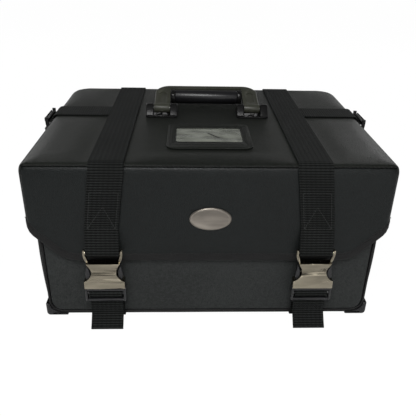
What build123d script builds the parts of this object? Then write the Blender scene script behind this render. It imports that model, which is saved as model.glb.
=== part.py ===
from build123d import *
import math
import os

# A soft-sided cosmetic case in millimetres: a board box with padded leather covers, a lid with a
# long front flap, two wide webbing straps, four side-release buckles and a folding handle.
# X runs to the right of someone facing the case, Y runs into it and Z is up.

# Case and lid
case_height = 205.0
lid_width = 410.0
lid_depth = 318.0
lid_back_corner_radius = 27.0
lid_front_corner_radius = 8.0
lid_edge_radius = 6.0
lid_panel_thickness = 7.0
lid_band_thickness = 3.5
lid_band_bottom = 140.0
lid_board_thickness = 3.0
lid_lining_drop = 3.5
board_gap = 0.5

# Front flap, part of the lid
flap_thickness = 5.0
flap_bottom = 95.0
flap_corner_rise = 43.4
flap_corner_radius = 28.0
binding_width = 9.0
binding_proud = 0.6

# Base box
base_board_width = 384.0
base_board_thickness = 3.0
rim_gap = 16.1
base_flap_gap = 1.2
front_panel_thickness = 4.2
front_panel_inset = 1.0
front_panel_top = 150.0
front_panel_corner_radius = 13.0
front_panel_edge_radius = 2.5
piping_radius = 1.6
board_back_gap = 1.4
cover_foot = 5.0
cover_bulge = 9.6
cover_head = 8.0
cover_top = 129.0
bottom_height = 2.0
bottom_thickness = 3.0
lining_thickness = 1.0
rim_binding_thickness = 2.4
protector_height = 16.0
protector_length = 26.0
protector_wall = 2.2
protector_edge_radius = 4.0
fit_gap = 0.2

# Hinge strip along the back
hinge_strip_length = 340.0
hinge_strip_thickness = 1.2
hinge_strip_reach = 22.0

# Webbing
webbing_width = 38.0
webbing_thickness = 1.5
webbing_gap = 0.15
top_strap_spacing = 224.0
buckle_spacing = 242.0
side_strap_y = 28.0
strap_stitch_bottom = 131.0
front_tail_reach = 20.0
side_tail_length = 46.0

# Side-release buckles, drawn about their webbing bar
front_bar_height = 101.0
side_bar_drop = 6.0
bar_stand_off = 8.0
bar_radius = 2.0
horn_height = 4.0
socket_half_width = 23.2
horn_half_width = 22.2
flank_draw = 3.2
socket_length = 46.0
socket_half_depth = 5.0
socket_wall = 2.0
waist_half_width = 14.2
waist_drop = 24.5
shoulder_drop = 36.0
lip_drop = 12.0
rail_width = 2.0
rail_half_depth = 2.2
mouth_half_width = 20.4
arm_half_depth = 2.4
arm_width = 2.8
arm_outer = 19.7
arm_head_outer = 21.4
arm_head_inner = 16.0
arm_tip_drop = 16.5
ladder_drop = 55.0
ladder_bar_radius = 1.6
tongue_half_width = 23.6
tongue_half_depth = 3.5
tongue_slim_half_depth = 1.8
tongue_rail = 2.5
tongue_top_bar = 3.4
tongue_bottom_bar = 2.4
tongue_bottom_drop = 65.2
tongue_corner_radius = 3.0
mouth_gap = 0.6

# Handle
handle_pivot_y = 20.0
handle_pivot_rise = 8.0
handle_tilt = 11.5
handle_length = 62.0
handle_outer_half = 71.0
handle_leg_width = 20.8
handle_plate_thickness = 6.0
handle_corner_radius = 20.0
handle_bar_depth = 7.0
knuckle_radius = 6.0
pin_radius = 2.5
pin_running_gap = 0.06
pin_seat_gap = 0.02
ear_thickness = 10.0
ear_gap = 0.4
ear_radius = 6.5
foot_length = 34.0
foot_thickness = 1.4
leg_recess_depth = 1.0
grip_radius = 9.4
grip_drop = 6.0
collar_length = 6.0
collar_proud = 0.5
screw_radius = 1.6
screw_head_radius = 3.2
screw_head_height = 1.4
screw_spacing = 20.0
backing_plate_thickness = 1.5
backing_plate_depth = 30.0

# Card window and badge
window_width = 100.0
window_depth = 88.0
window_front_margin = 46.0
window_thickness = 1.8
window_opening_width = 79.0
window_opening_depth = 51.0
window_opening_front_margin = 21.0
window_corner_radius = 10.0
window_opening_radius = 4.0
film_thickness = 0.4
badge_width = 47.0
badge_height = 28.0
badge_thickness = 2.4
badge_centre_height = 141.0
badge_bevel = 1.0

# Places worked out from the sizes above
front_y = -lid_depth / 2
back_y = lid_depth / 2
lid_half = lid_width / 2
panel_bottom = case_height - lid_panel_thickness
board_bottom = panel_bottom - lid_board_thickness
lid_lining_bottom = board_bottom - lid_lining_drop - lining_thickness
band_inner_half = lid_half - lid_band_thickness
band_inner_back = back_y - lid_band_thickness
band_bottom = lid_band_bottom
binding_bottom = band_bottom - binding_width
flap_inner_y = front_y + flap_thickness
panel_face_y = flap_inner_y + binding_proud + base_flap_gap
board_front_y = panel_face_y + front_panel_thickness
board_half = base_board_width / 2
board_back_y = back_y - cover_bulge - board_back_gap
board_corner_radius = lid_back_corner_radius - (lid_half - board_half) / 2
floor_z = bottom_height + bottom_thickness
lining_floor = floor_z + base_board_thickness
base_rim_height = lid_lining_bottom - rim_gap - rim_binding_thickness
strap_step = webbing_gap + webbing_thickness / 2
back_reach = binding_proud + fit_gap + hinge_strip_thickness
case_shift = (front_tail_reach - back_reach) / 2
side_bar_x = lid_half + bar_stand_off
side_bar_height = case_height - side_bar_drop
front_bar_y = front_y - bar_stand_off
handle_z = case_height + handle_pivot_rise
leg_middle = handle_outer_half - handle_leg_width / 2


def box(x_low, x_high, y_low, y_high, z_low, z_high):
    """A block between two corners."""
    block = Box(x_high - x_low, y_high - y_low, z_high - z_low, align=(Align.MIN,) * 3)
    return Pos(x_low, y_low, z_low) * block


def plan(half_width, front, back, front_radius, back_radius):
    """The case's outline seen from above, with its own radius at the front and back corners."""
    corners = [(-half_width, front), (half_width, front), (half_width, back), (-half_width, back)]
    face = make_face(Polyline(*corners, close=True))
    face = fillet(face.vertices().group_by(Axis.Y)[-1], back_radius)
    return fillet(face.vertices().group_by(Axis.Y)[0], front_radius)


def slab(outline, bottom, top):
    """An outline seen from above, raised between two heights."""
    return extrude(Pos(0, 0, bottom) * outline, top - bottom)


def front_slab(outline, near, far):
    """An outline seen from the front, X and Z, given a depth from near to far."""
    plane = Plane(origin=(0, far, 0), x_dir=(1, 0, 0), z_dir=(0, -1, 0))
    return extrude(plane * outline, far - near)


def turns_left(before, corner, after):
    """Whether a path drawn in the plane bends to the left at a corner."""
    cross = (corner[0] - before[0]) * (after[1] - corner[1]) - (corner[1] - before[1]) * (after[0] - corner[0])
    return cross > 0


def side_points(points, distance):
    """A path's corners moved square to its runs, to its left if the distance is positive."""
    normals = []
    for (ax, ay), (bx, by) in zip(points, points[1:]):
        length = math.hypot(bx - ax, by - ay)
        normals.append((-(by - ay) / length, (bx - ax) / length))
    before = [normals[0]] + normals
    after = normals + [normals[-1]]
    moved = []
    for (x, y), (nx, ny), (mx, my) in zip(points, before, after):
        stretch = distance / (1 + nx * mx + ny * my)
        moved.append((x + stretch * (nx + mx), y + stretch * (ny + my)))
    return moved


def ribbon(points, radii, x_low, x_high, thickness=webbing_thickness):
    """A strip along a path of corners in Y and Z, each rounded, as wide as from x_low to x_high."""
    half = thickness / 2
    edges = []
    for distance in (half, -half):
        rounded = []
        for corner, radius in enumerate(radii, start=1):
            left = turns_left(*points[corner - 1 : corner + 2])
            rounded.append(radius - distance if left else radius + distance)
        edges.append(FilletPolyline(*side_points(points, distance), radius=rounded))
    left, right = edges
    ends = [Line(left @ 0, right @ 0), Line(left @ 1, right @ 1)]
    face = make_face(Curve() + [left, right] + ends)
    plane = Plane(origin=(x_low, 0, 0), x_dir=(0, 1, 0), z_dir=(1, 0, 0))
    return extrude(plane * face, x_high - x_low)


def mirrored(points):
    """The points of a right-hand outline, then the same points on the left in reverse."""
    return points + [(-x, z) for x, z in reversed(points)]


# The lid's covers, boards and bindings


def lid_top_panel():
    panel = slab(
        plan(lid_half, front_y, back_y, lid_front_corner_radius, lid_back_corner_radius),
        panel_bottom,
        case_height,
    )
    panel = fillet(panel.faces().sort_by(Axis.Z)[-1].edges(), lid_edge_radius)
    return panel - screw_holes(screw_radius + fit_gap)


def lid_board_plan(clearance):
    return plan(
        band_inner_half - clearance,
        flap_inner_y + clearance,
        band_inner_back - clearance,
        lid_front_corner_radius / 2,
        lid_back_corner_radius - lid_band_thickness,
    )


def lid_top_board():
    board = slab(lid_board_plan(board_gap), board_bottom, panel_bottom)
    return board - screw_holes(screw_radius + fit_gap)


def lid_lining():
    tray = slab(lid_board_plan(board_gap), lid_lining_bottom, board_bottom)
    hollow_bottom = lid_lining_bottom + lining_thickness
    hollow = slab(lid_board_plan(board_gap + lining_thickness), hollow_bottom, board_bottom)
    return tray - hollow


def lid_side_band():
    outer = slab(plan(lid_half, front_y, back_y, 1.0, lid_back_corner_radius), band_bottom, panel_bottom)
    inner_radius = lid_back_corner_radius - lid_band_thickness
    inner = slab(plan(band_inner_half, front_y, band_inner_back, 1.0, inner_radius), band_bottom, panel_bottom)
    front = box(-lid_width, lid_width, front_y - 1, flap_inner_y, 0, case_height)
    return outer - inner - front


def lid_edge_binding():
    outer_half = lid_half + binding_proud
    outer_radius = lid_back_corner_radius + binding_proud
    outer_plan = plan(outer_half, front_y, back_y + binding_proud, 1.0, outer_radius)
    outer = slab(outer_plan, binding_bottom, band_bottom)
    inner_half = band_inner_half - binding_proud
    inner_back = band_inner_back - binding_proud
    inner_radius = lid_back_corner_radius - lid_band_thickness - binding_proud
    inner = slab(plan(inner_half, front_y, inner_back, 1.0, inner_radius), binding_bottom, band_bottom)
    front = box(-lid_width, lid_width, front_y - 1, flap_inner_y + binding_proud, 0, case_height)
    return outer - inner - front


def flap_outline(drop):
    """The flap seen from the front, let down by a drop square to its lower edge."""
    side_low = flap_bottom + flap_corner_rise - drop * math.sqrt(2)
    flat_end = lid_half - flap_corner_rise + drop * (math.sqrt(2) - 1)
    right = [(lid_half, panel_bottom), (lid_half, side_low), (flat_end, flap_bottom - drop)]
    face = make_face(Polyline(*mirrored(right), close=True))
    return fillet(face.vertices().group_by(Axis.Y)[0], flap_corner_radius + drop)


def lid_front_flap():
    return front_slab(flap_outline(0), front_y, flap_inner_y)


def flap_binding():
    edge = flap_outline(binding_width) - flap_outline(0)
    return front_slab(edge, front_y - binding_proud, flap_inner_y + binding_proud)


# The base: boards, padded covers, lining, bindings and corner protectors


def base_plan(grow, front):
    """The base boards' outline from above, grown outwards at the sides and back."""
    return plan(board_half + grow, front, board_back_y + grow, 1.0, board_corner_radius + grow)


def base_wall_board():
    outer = slab(base_plan(0, board_front_y), floor_z, base_rim_height)
    inner = slab(base_plan(-base_board_thickness, board_front_y - 1), floor_z, base_rim_height)
    front = box(-board_half, board_half, board_front_y - 1, board_front_y + base_board_thickness, 0, case_height)
    return outer - inner - front


def base_front_board():
    return box(
        -board_half,
        board_half,
        board_front_y,
        board_front_y + base_board_thickness,
        floor_z,
        base_rim_height,
    )


def base_bottom_board():
    inside_front = board_front_y + base_board_thickness
    return slab(base_plan(-base_board_thickness, inside_front), floor_z, lining_floor)


def base_lining():
    inside_front = board_front_y + base_board_thickness
    outer = slab(base_plan(-base_board_thickness, inside_front), lining_floor, base_rim_height)
    hollow_front = inside_front + lining_thickness
    hollow = base_plan(-base_board_thickness - lining_thickness, hollow_front)
    return outer - slab(hollow, lining_floor + lining_thickness, base_rim_height)


def base_rim_binding():
    top = base_rim_height + rim_binding_thickness
    outer = slab(base_plan(0, board_front_y), base_rim_height, top)
    wall = base_board_thickness + lining_thickness
    hollow = slab(base_plan(-wall, board_front_y + wall), base_rim_height, top)
    ring = outer - hollow
    return fillet(ring.faces().sort_by(Axis.Z)[-1].outer_wire().edges(), rim_binding_thickness / 3)


def cover_profile():
    """The padded side's section: distance out from the board and height."""
    middle = (floor_z + cover_top) * 0.6
    outside = ThreePointArc((cover_foot, floor_z), (cover_bulge, middle), (cover_head, cover_top))
    inside = Polyline((cover_head, cover_top), (0, cover_top), (0, floor_z), (cover_foot, floor_z))
    return make_face(Curve() + [outside, inside])


def cover_path():
    radius = board_corner_radius
    path = FilletPolyline(
        (-board_half, board_front_y),
        (-board_half, board_back_y),
        (board_half, board_back_y),
        (board_half, board_front_y),
        radius=radius,
    )
    return path


def base_side_cover():
    start = Plane(origin=(-board_half, board_front_y, 0), x_dir=(-1, 0, 0), z_dir=(0, 1, 0))
    return sweep(start * cover_profile(), path=cover_path())


def front_panel_outline(shrink):
    """The padded front panel seen from the front, drawn in by the piping or let out by a gap."""
    half = board_half + front_panel_inset + piping_radius - shrink
    low = floor_z + shrink
    right = [(half, front_panel_top), (half, low)]
    face = make_face(Polyline(*mirrored(right), close=True))
    radius = front_panel_corner_radius + 2 * piping_radius - shrink
    return fillet(face.vertices().group_by(Axis.Y)[0], radius)


def base_front_panel():
    panel = front_slab(front_panel_outline(2 * piping_radius), panel_face_y, board_front_y)
    return fillet(panel.faces().sort_by(Axis.Y)[0].edges(), front_panel_edge_radius)


def front_panel_piping():
    half = board_half + front_panel_inset
    low = floor_z + piping_radius
    middle_y = board_front_y - piping_radius - fit_gap
    corner = front_panel_corner_radius + piping_radius
    path = FilletPolyline(
        (-half, middle_y, front_panel_top),
        (-half, middle_y, low),
        (half, middle_y, low),
        (half, middle_y, front_panel_top),
        radius=corner,
    )
    start = Plane(origin=(-half, middle_y, front_panel_top), z_dir=(0, 0, -1))
    return sweep(start * Circle(piping_radius - fit_gap / 2), path=path)


def base_bottom_cover():
    front = board_front_y - 1
    return slab(plan(board_half, front, board_back_y, 4.0, board_corner_radius), bottom_height, floor_z)


def corner_protectors():
    """Four moulded corners that carry the case on the floor."""
    outer_grow = cover_foot + protector_wall
    foot = plan(
        board_half + outer_grow,
        panel_face_y - fit_gap,
        board_back_y + outer_grow,
        protector_edge_radius + 1,
        board_corner_radius + outer_grow,
    )
    skirt = slab(foot, 0, protector_height)
    skirt = fillet(skirt.faces().sort_by(Axis.Z)[0].edges(), protector_edge_radius)
    lean = (cover_bulge - cover_foot) * 0.35
    inside = plan(
        board_half + cover_foot + lean,
        board_front_y - fit_gap,
        board_back_y + cover_foot + lean,
        1.0,
        board_corner_radius + cover_foot + lean,
    )
    skirt -= slab(inside, floor_z - fit_gap, protector_height)
    bottom_hollow = plan(board_half + fit_gap, panel_face_y - 1, board_back_y, 4.0, board_corner_radius)
    skirt -= slab(bottom_hollow, bottom_height, floor_z)
    skirt -= front_slab(front_panel_outline(-fit_gap), panel_face_y - 1, board_front_y)
    half = board_half + outer_grow
    front = panel_face_y - fit_gap
    back = board_back_y + outer_grow
    corners = []
    for side in (-1, 1):
        for near, far in ((front, front + protector_length), (back - protector_length, back)):
            inner_x = side * (half - protector_length)
            outer_x = side * half
            block = box(min(inner_x, outer_x), max(inner_x, outer_x), near, far, 0, protector_height)
            corners.append((skirt & block).solids().sort_by(SortBy.VOLUME)[-1])
    return Compound(corners)


def hinge_strip():
    """Leather strip sewn to the base's back cover and to the lid's back band."""
    base_y = board_back_y + cover_bulge + fit_gap + hinge_strip_thickness / 2
    lid_y = back_y + binding_proud + fit_gap + hinge_strip_thickness / 2
    path = [
        (base_y, cover_top - hinge_strip_reach),
        (base_y, cover_top - hinge_strip_reach / 2),
        (lid_y, binding_bottom - webbing_thickness),
        (lid_y, band_bottom + hinge_strip_reach / 2),
    ]
    half = hinge_strip_length / 2
    return ribbon(path, [4.0, 4.0], -half, half, hinge_strip_thickness)


# Webbing straps on the lid


def bar_loop(sewn_height):
    """Doubled webbing in local sizes, sewn together above and open round the buckle's bar."""
    inner = bar_radius + webbing_gap
    outer = inner + webbing_thickness
    back = bar_stand_off - webbing_gap
    sewn = Pos(back - webbing_thickness, sewn_height) * Rectangle(2 * webbing_thickness, 1.0)
    outline = make_hull(Circle(outer).edges() + sewn.edges())
    hollow_top = min(sewn_height * 0.6, sewn_height - 2.0)
    tip = Pos(back * hollow_top / sewn_height, hollow_top) * Circle(0.15)
    hollow = make_hull(Circle(inner).edges() + tip.edges())
    return outline - hollow


def local_loop(sewn_height):
    plane = Plane(origin=(-webbing_width / 2, 0, 0), x_dir=(0, 1, 0), z_dir=(1, 0, 0))
    return extrude(plane * bar_loop(sewn_height), webbing_width)


def top_strap(side):
    """Wide strap over the lid, sewn to the flap, with its buckle loop below."""
    over_radius = lid_edge_radius + strap_step
    path = [
        (back_y + strap_step, band_bottom + hinge_strip_reach / 2 + 2),
        (back_y + strap_step, case_height + strap_step),
        (front_y - strap_step, case_height + strap_step),
        (front_y - strap_step, case_height - over_radius - 1),
    ]
    middle = side * top_strap_spacing / 2
    over = ribbon(path, [over_radius] * 2, middle - webbing_width / 2, middle + webbing_width / 2)
    low_middle = side * buckle_spacing / 2
    top_z = case_height - over_radius - 1
    half = webbing_width / 2
    slant = make_face(
        Polyline(
            (middle - half, top_z),
            (middle + half, top_z),
            (low_middle + half, strap_stitch_bottom),
            (low_middle - half, strap_stitch_bottom),
            close=True,
        )
    )
    front = front_slab(slant, front_y - webbing_gap - webbing_thickness, front_y - webbing_gap)
    loop = Pos(low_middle, front_bar_y, front_bar_height) * local_loop(strap_stitch_bottom - front_bar_height)
    return over + front + loop


def side_strap(side):
    """Strap from under a wide strap, over the lid's side edge, to the side buckle's bar."""
    over_radius = lid_edge_radius + strap_step
    start = top_strap_spacing / 2 + webbing_width / 2 + fit_gap
    edge_x = lid_half + strap_step
    low_z = side_bar_height - bar_radius - strap_step
    bar_x = side_bar_x
    path = [
        (start, case_height + strap_step),
        (edge_x, case_height + strap_step),
        (edge_x, low_z),
        (bar_x + bar_radius + strap_step, low_z),
        (bar_x + bar_radius + strap_step, side_bar_height + bar_radius),
    ]
    strap = ribbon(path, [over_radius, 1.6, 1.6], -webbing_width / 2, webbing_width / 2)
    return Pos(0, side_strap_y, 0) * Rot(0, 0, -90 * side) * strap


# Side-release buckles, in local sizes: X across, Y towards the case, Z up, with the webbing bar
# along X through the origin


def front_face(outline, half_depth):
    """A buckle outline in X and Z, as deep as twice half_depth, centred on the bar."""
    return front_slab(outline, -half_depth, half_depth)


def hourglass(inset=0.0):
    """The socket's outline: horns, waist and square mouth."""
    half = horn_half_width - inset
    waist = waist_half_width - inset
    mouth = socket_half_width - inset
    upper = Spline(
        (half, 0),
        (half - flank_draw, -lip_drop),
        (waist, -waist_drop),
        tangents=[(0, -1), (0, -1)],
    )
    lower = Spline(
        (waist, -waist_drop),
        (waist + 2.6, -waist_drop - 6.6),
        (mouth, -shoulder_drop),
        tangents=[(0, -1), (1, -0.25)],
    )
    right = Curve() + [
        Line((half, horn_height), (half, 0)),
        upper,
        lower,
        Line((mouth, -shoulder_drop), (mouth, -socket_length)),
    ]
    left = mirror(right, about=Plane.YZ)
    top = Line((-half, horn_height), (half, horn_height))
    bottom = Line((-mouth, -socket_length), (mouth, -socket_length))
    return make_face(right + left + top + bottom)


def buckle_socket():
    body = front_face(hourglass(), socket_half_depth)
    opening = make_face(
        Polyline(
            (horn_half_width - rail_width, horn_height + 1),
            (horn_half_width - rail_width, 0),
            (horn_half_width - rail_width - flank_draw, -lip_drop),
            (-(horn_half_width - rail_width - flank_draw), -lip_drop),
            (-(horn_half_width - rail_width), 0),
            (-(horn_half_width - rail_width), horn_height + 1),
            close=True,
        )
    )
    body -= front_face(opening, socket_half_depth + 1)
    above = box(-50, 50, -socket_half_depth - 1, -rail_half_depth, -lip_drop, horn_height + 1)
    behind = box(-50, 50, rail_half_depth, socket_half_depth + 1, -lip_drop, horn_height + 1)
    body = body - above - behind
    cavity_half_depth = socket_half_depth - socket_wall
    cavity = box(
        -mouth_half_width,
        mouth_half_width,
        -cavity_half_depth,
        cavity_half_depth,
        -socket_length - 1,
        -waist_drop - 1.0,
    )
    body -= cavity
    slope = Polyline(
        (-socket_half_depth - 0.1, -lip_drop - 4.0),
        (-socket_half_depth + 1.4, -waist_drop + 1.0),
        (-socket_half_depth - 0.1, -waist_drop - 3.0),
        close=True,
    )
    plane = Plane(origin=(-50, 0, 0), x_dir=(0, 1, 0), z_dir=(1, 0, 0))
    body -= extrude(plane * make_face(slope), 100)
    bar = Rot(0, 90, 0) * Cylinder(bar_radius, 2 * horn_half_width - 2 * rail_width + 1)
    return body + bar


def buckle_tongue():
    """The frame that holds the lower webbing, with its ladder bar."""
    top = -socket_length - mouth_gap
    bottom = -tongue_bottom_drop
    outline = make_face(
        Polyline(*mirrored([(tongue_half_width, top), (tongue_half_width, bottom)]), close=True)
    )
    outline = fillet(outline.vertices().group_by(Axis.Y)[0], tongue_corner_radius)
    inner_half = tongue_half_width - tongue_rail
    window = make_face(
        Polyline(
            *mirrored([(inner_half, top - tongue_top_bar), (inner_half, bottom + tongue_bottom_bar)]),
            close=True,
        )
    )
    frame = front_face(outline - window, tongue_half_depth)
    frame = chamfer(frame.faces().sort_by(Axis.Y)[0].outer_wire().edges(), 0.8)
    lower = top - tongue_top_bar - 1.0
    slim = tongue_slim_half_depth
    front_cut = box(-inner_half, inner_half, -tongue_half_depth - 1, -slim, bottom - 1, lower)
    back_cut = box(-inner_half, inner_half, slim, tongue_half_depth + 1, bottom - 1, lower)
    frame = frame - front_cut - back_cut
    bar = Pos(0, 0, -ladder_drop) * Rot(0, 90, 0) * Cylinder(ladder_bar_radius, 2 * inner_half + 1)
    guide = box(-7, 7, -arm_half_depth + 0.4, arm_half_depth - 0.4, top - 1, -waist_drop - 6.0)
    return frame + bar + guide


def buckle_arm(side):
    """One of the two spring arms; its head fills the socket's waist."""
    root = -socket_length - mouth_gap + fit_gap
    head_foot = -shoulder_drop + 3.2
    head_top = -arm_tip_drop
    outline = Polyline(
        (arm_outer - arm_width, root),
        (arm_outer, root),
        (arm_outer, head_foot - 0.6),
        (arm_head_outer, head_foot),
        (arm_head_outer - 0.3, -waist_drop - 2.0),
        (arm_head_outer - 2.0, head_top),
        (arm_head_outer - 2.9, head_top - 0.6),
        (arm_head_inner + 0.5, -waist_drop + 2.5),
        (arm_head_inner, -waist_drop - 2.0),
        (arm_head_inner + 0.2, head_foot + 1.0),
        (arm_outer - arm_width, head_foot - 3.0),
        close=True,
    )
    arm = front_face(make_face(outline), arm_half_depth)
    if side < 0:
        arm = mirror(arm, about=Plane.YZ)
    return arm


def ladder_points():
    """The lower webbing's way round the ladder bar, from behind the frame to the start of its tail."""
    turn = ladder_bar_radius + strap_step
    bar_z = -ladder_drop
    frame_z = -tongue_bottom_drop
    tail_y = tongue_slim_half_depth + 0.2 + strap_step
    anchored_y = tail_y + webbing_thickness + 0.25
    return [
        (anchored_y, frame_z - 2.5),
        (anchored_y, frame_z + 4.0),
        (turn, bar_z - 0.5),
        (turn, bar_z + turn),
        (-turn, bar_z + turn),
        (-turn, bar_z - 2.0),
        (tail_y, frame_z + tongue_bottom_bar + 0.3),
        (tail_y, frame_z - 3.0),
    ]


def lower_strap(run_up, tail):
    """A lower strap in local Y and Z: its run up the case, its turn round the ladder bar, its tail."""
    points = run_up + ladder_points() + tail
    turn = ladder_bar_radius + strap_step
    bend = webbing_thickness * 0.8
    radii = [2.0] * len(run_up) + [bend, bend, turn * 0.97, turn * 0.97, bend, bend] + [2.0] * len(tail)
    return ribbon(points, radii[: len(points) - 2], -webbing_width / 2, webbing_width / 2)


def front_lower_strap(side):
    """Webbing from the back of the base, under it, up the front panel and through the ladder."""
    centre_y = webbing_gap + webbing_thickness / 2
    back_foot = board_back_y + cover_foot + centre_y + 1.2 + fit_gap
    back_head = board_back_y + cover_bulge + centre_y + fit_gap
    under = bottom_height - centre_y
    front_run = panel_face_y - centre_y
    local = [
        (back_head, cover_top - hinge_strip_reach - 4),
        (back_head, floor_z + 60),
        (back_foot, floor_z + 3),
        (back_foot - 3, under),
        (front_run + 2, under),
        (front_run, floor_z),
        (front_run, front_bar_height - tongue_bottom_drop - 8),
    ]
    run_up = [(y - front_bar_y, z - front_bar_height) for y, z in local]
    toe = [
        (front_y - front_tail_reach * 0.35, floor_z + 11),
        (front_y - front_tail_reach * 0.8, floor_z + 0.5),
        (front_y - front_tail_reach, webbing_thickness),
    ]
    tail = [(y - front_bar_y, z - front_bar_height) for y, z in toe]
    return front_place(side) * lower_strap(run_up, tail)


def side_lower_strap(side):
    """Webbing sewn into the base's bottom edge, up its side and through the ladder."""
    centre = webbing_gap + webbing_thickness / 2
    out = side_bar_x - board_half
    bulge_y = out - cover_bulge - centre
    foot_y = out - cover_foot - centre - 1.2
    low = floor_z + 2 - side_bar_height
    run_up = [
        (foot_y, low),
        (bulge_y, low + 52),
        (bulge_y, -tongue_bottom_drop - 12),
    ]
    tail_start = -tongue_bottom_drop
    tail = [
        (bulge_y - 2 * webbing_thickness, tail_start - 14),
        (bulge_y - 3 * webbing_thickness, tail_start - side_tail_length),
    ]
    return side_place(side) * lower_strap(run_up, tail)


def front_place(side):
    return Pos(side * buckle_spacing / 2, front_bar_y, front_bar_height)


def side_place(side):
    return Pos(side * side_bar_x, side_strap_y, side_bar_height) * Rot(0, 0, side * 90)


# Folding handle, its feet and its fixings


def screw_points():
    for side in (-1, 1):
        for end in (-1, 1):
            yield side * leg_middle, handle_pivot_y + end * screw_spacing / 2


def screw_holes(radius):
    holes = []
    for x, y in screw_points():
        holes.append(Pos(x, y, case_height) * Cylinder(radius, 60))
    return holes


def handle_foot(side):
    """Moulded foot with two ears and a bore for the pivot pin."""
    inner_half = handle_leg_width / 2 + ear_gap
    outer_half = inner_half + ear_thickness
    middle = side * leg_middle
    low_y = handle_pivot_y - foot_length / 2
    high_y = handle_pivot_y + foot_length / 2
    foot_top = case_height + foot_thickness
    plate = box(middle - outer_half, middle + outer_half, low_y, high_y, case_height, foot_top)
    plate = fillet(plate.edges().filter_by(Axis.Z), 5.0)
    ear_face = make_hull(
        (Pos(handle_pivot_y, handle_z) * Circle(ear_radius)).edges()
        + (Pos(handle_pivot_y, case_height + 1.5) * Rectangle(foot_length - 6, 3.0)).edges()
    )
    ears = []
    for x_low in (middle - outer_half, middle + inner_half):
        plane = Plane(origin=(x_low, 0, 0), x_dir=(0, 1, 0), z_dir=(1, 0, 0))
        ear = extrude(plane * ear_face, ear_thickness)
        ear = fillet(ear.faces().filter_by(Axis.X).edges().filter_by(GeomType.CIRCLE), 1.2)
        ears.append(ear)
    drill = Cylinder(pin_radius + pin_seat_gap, 2 * leg_middle)
    bore = Pos(middle, handle_pivot_y, handle_z) * Rot(0, 90, 0) * drill
    foot = plate + ears - bore
    return foot - screw_sockets()


def screw_sockets():
    sockets = []
    for x, y in screw_points():
        sockets.append(Pos(x, y, case_height) * Cylinder(screw_radius, 2 * foot_thickness + 1))
    return sockets


def handle_pins():
    length = handle_leg_width + 2 * ear_gap + 2 * ear_thickness - 1.0
    pins = []
    for side in (-1, 1):
        pin = Rot(0, 90, 0) * Cylinder(pin_radius, length)
        pins.append(Pos(side * leg_middle, handle_pivot_y, handle_z) * pin)
    return Compound(pins)


def handle_tilted(shape):
    """Lay a handle piece drawn flat, with its pivot at the origin, in its folded-back place."""
    return Pos(0, handle_pivot_y, handle_z) * Rot(handle_tilt, 0, 0) * shape


def handle_frame():
    half = handle_plate_thickness / 2
    inner = handle_outer_half - handle_leg_width
    outline = make_face(
        Polyline(
            (-handle_outer_half, 0),
            (-handle_outer_half, handle_length),
            (handle_outer_half, handle_length),
            (handle_outer_half, 0),
            close=True,
        )
    )
    outline = fillet(outline.vertices().group_by(Axis.Y)[-1], handle_corner_radius)
    gap = make_face(
        Polyline(
            (-inner, -1),
            (-inner, handle_length - handle_bar_depth),
            (inner, handle_length - handle_bar_depth),
            (inner, -1),
            close=True,
        )
    )
    plate = slab(outline - gap, -half, half)
    plate = fillet(plate.faces().sort_by(Axis.Z)[-1].edges().filter_by(GeomType.CIRCLE), 1.0)
    for side in (-1, 1):
        middle = side * leg_middle
        knuckle = Pos(middle, 0, 0) * Rot(0, 90, 0) * Cylinder(knuckle_radius, handle_leg_width)
        plate += knuckle
        recess = Pos(middle, handle_length * 0.42, half - leg_recess_depth) * SlotOverall(30, 10, rotation=90)
        plate -= extrude(recess, leg_recess_depth + 1)
    plate -= Rot(0, 90, 0) * Cylinder(pin_radius + pin_running_gap, 400)
    return handle_tilted(plate)


def grip_section(radius):
    centre_s = handle_length - handle_bar_depth - grip_radius - fit_gap
    centre = Pos(centre_s, -grip_drop)
    plane = Plane(origin=(0, 0, 0), x_dir=(0, 1, 0), z_dir=(1, 0, 0))
    circle = centre * Circle(radius)
    reach = centre_s + grip_radius
    keep = Pos(reach - handle_length, 0) * Rectangle(2 * handle_length, 2 * handle_length)
    return plane * (circle & keep)


def grip_length():
    return 2 * (handle_outer_half - handle_leg_width) - 2 * fit_gap


def handle_grip():
    length = grip_length() - 2 * collar_length - 2 * fit_gap
    grip = Pos(-length / 2, 0, 0) * extrude(grip_section(grip_radius), length)
    return handle_tilted(grip)


def handle_collars():
    collars = []
    for start in (-grip_length() / 2, grip_length() / 2 - collar_length):
        collar = extrude(grip_section(grip_radius + collar_proud), collar_length)
        collars.append(handle_tilted(Pos(start, 0, 0) * collar))
    return Compound(collars)


def handle_backing_plate():
    half = leg_middle + 12
    low = board_bottom - backing_plate_thickness
    near = handle_pivot_y - backing_plate_depth / 2
    plate = box(-half, half, near, near + backing_plate_depth, low, board_bottom)
    plate = fillet(plate.edges().filter_by(Axis.Z), 4.0)
    return plate - screw_holes(screw_radius + fit_gap)


def handle_screws():
    low = board_bottom - backing_plate_thickness
    top = case_height + foot_thickness - 0.4
    screws = []
    for x, y in screw_points():
        shank = Pos(x, y, (low + top) / 2) * Cylinder(screw_radius - pin_seat_gap, top - low)
        head = Pos(x, y, low - screw_head_height / 2) * Cylinder(screw_head_radius, screw_head_height)
        screws.append((shank + head).solids()[0])
    return Compound(screws)


# Card window and badge


def window_frame():
    middle = front_y + window_front_margin + window_depth / 2
    opening_middle = front_y + window_front_margin + window_opening_front_margin + window_opening_depth / 2
    outer = Pos(0, middle) * RectangleRounded(window_width, window_depth, window_corner_radius)
    opening = Pos(0, opening_middle) * RectangleRounded(
        window_opening_width, window_opening_depth, window_opening_radius
    )
    return slab(outer - opening, case_height, case_height + window_thickness)


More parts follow.
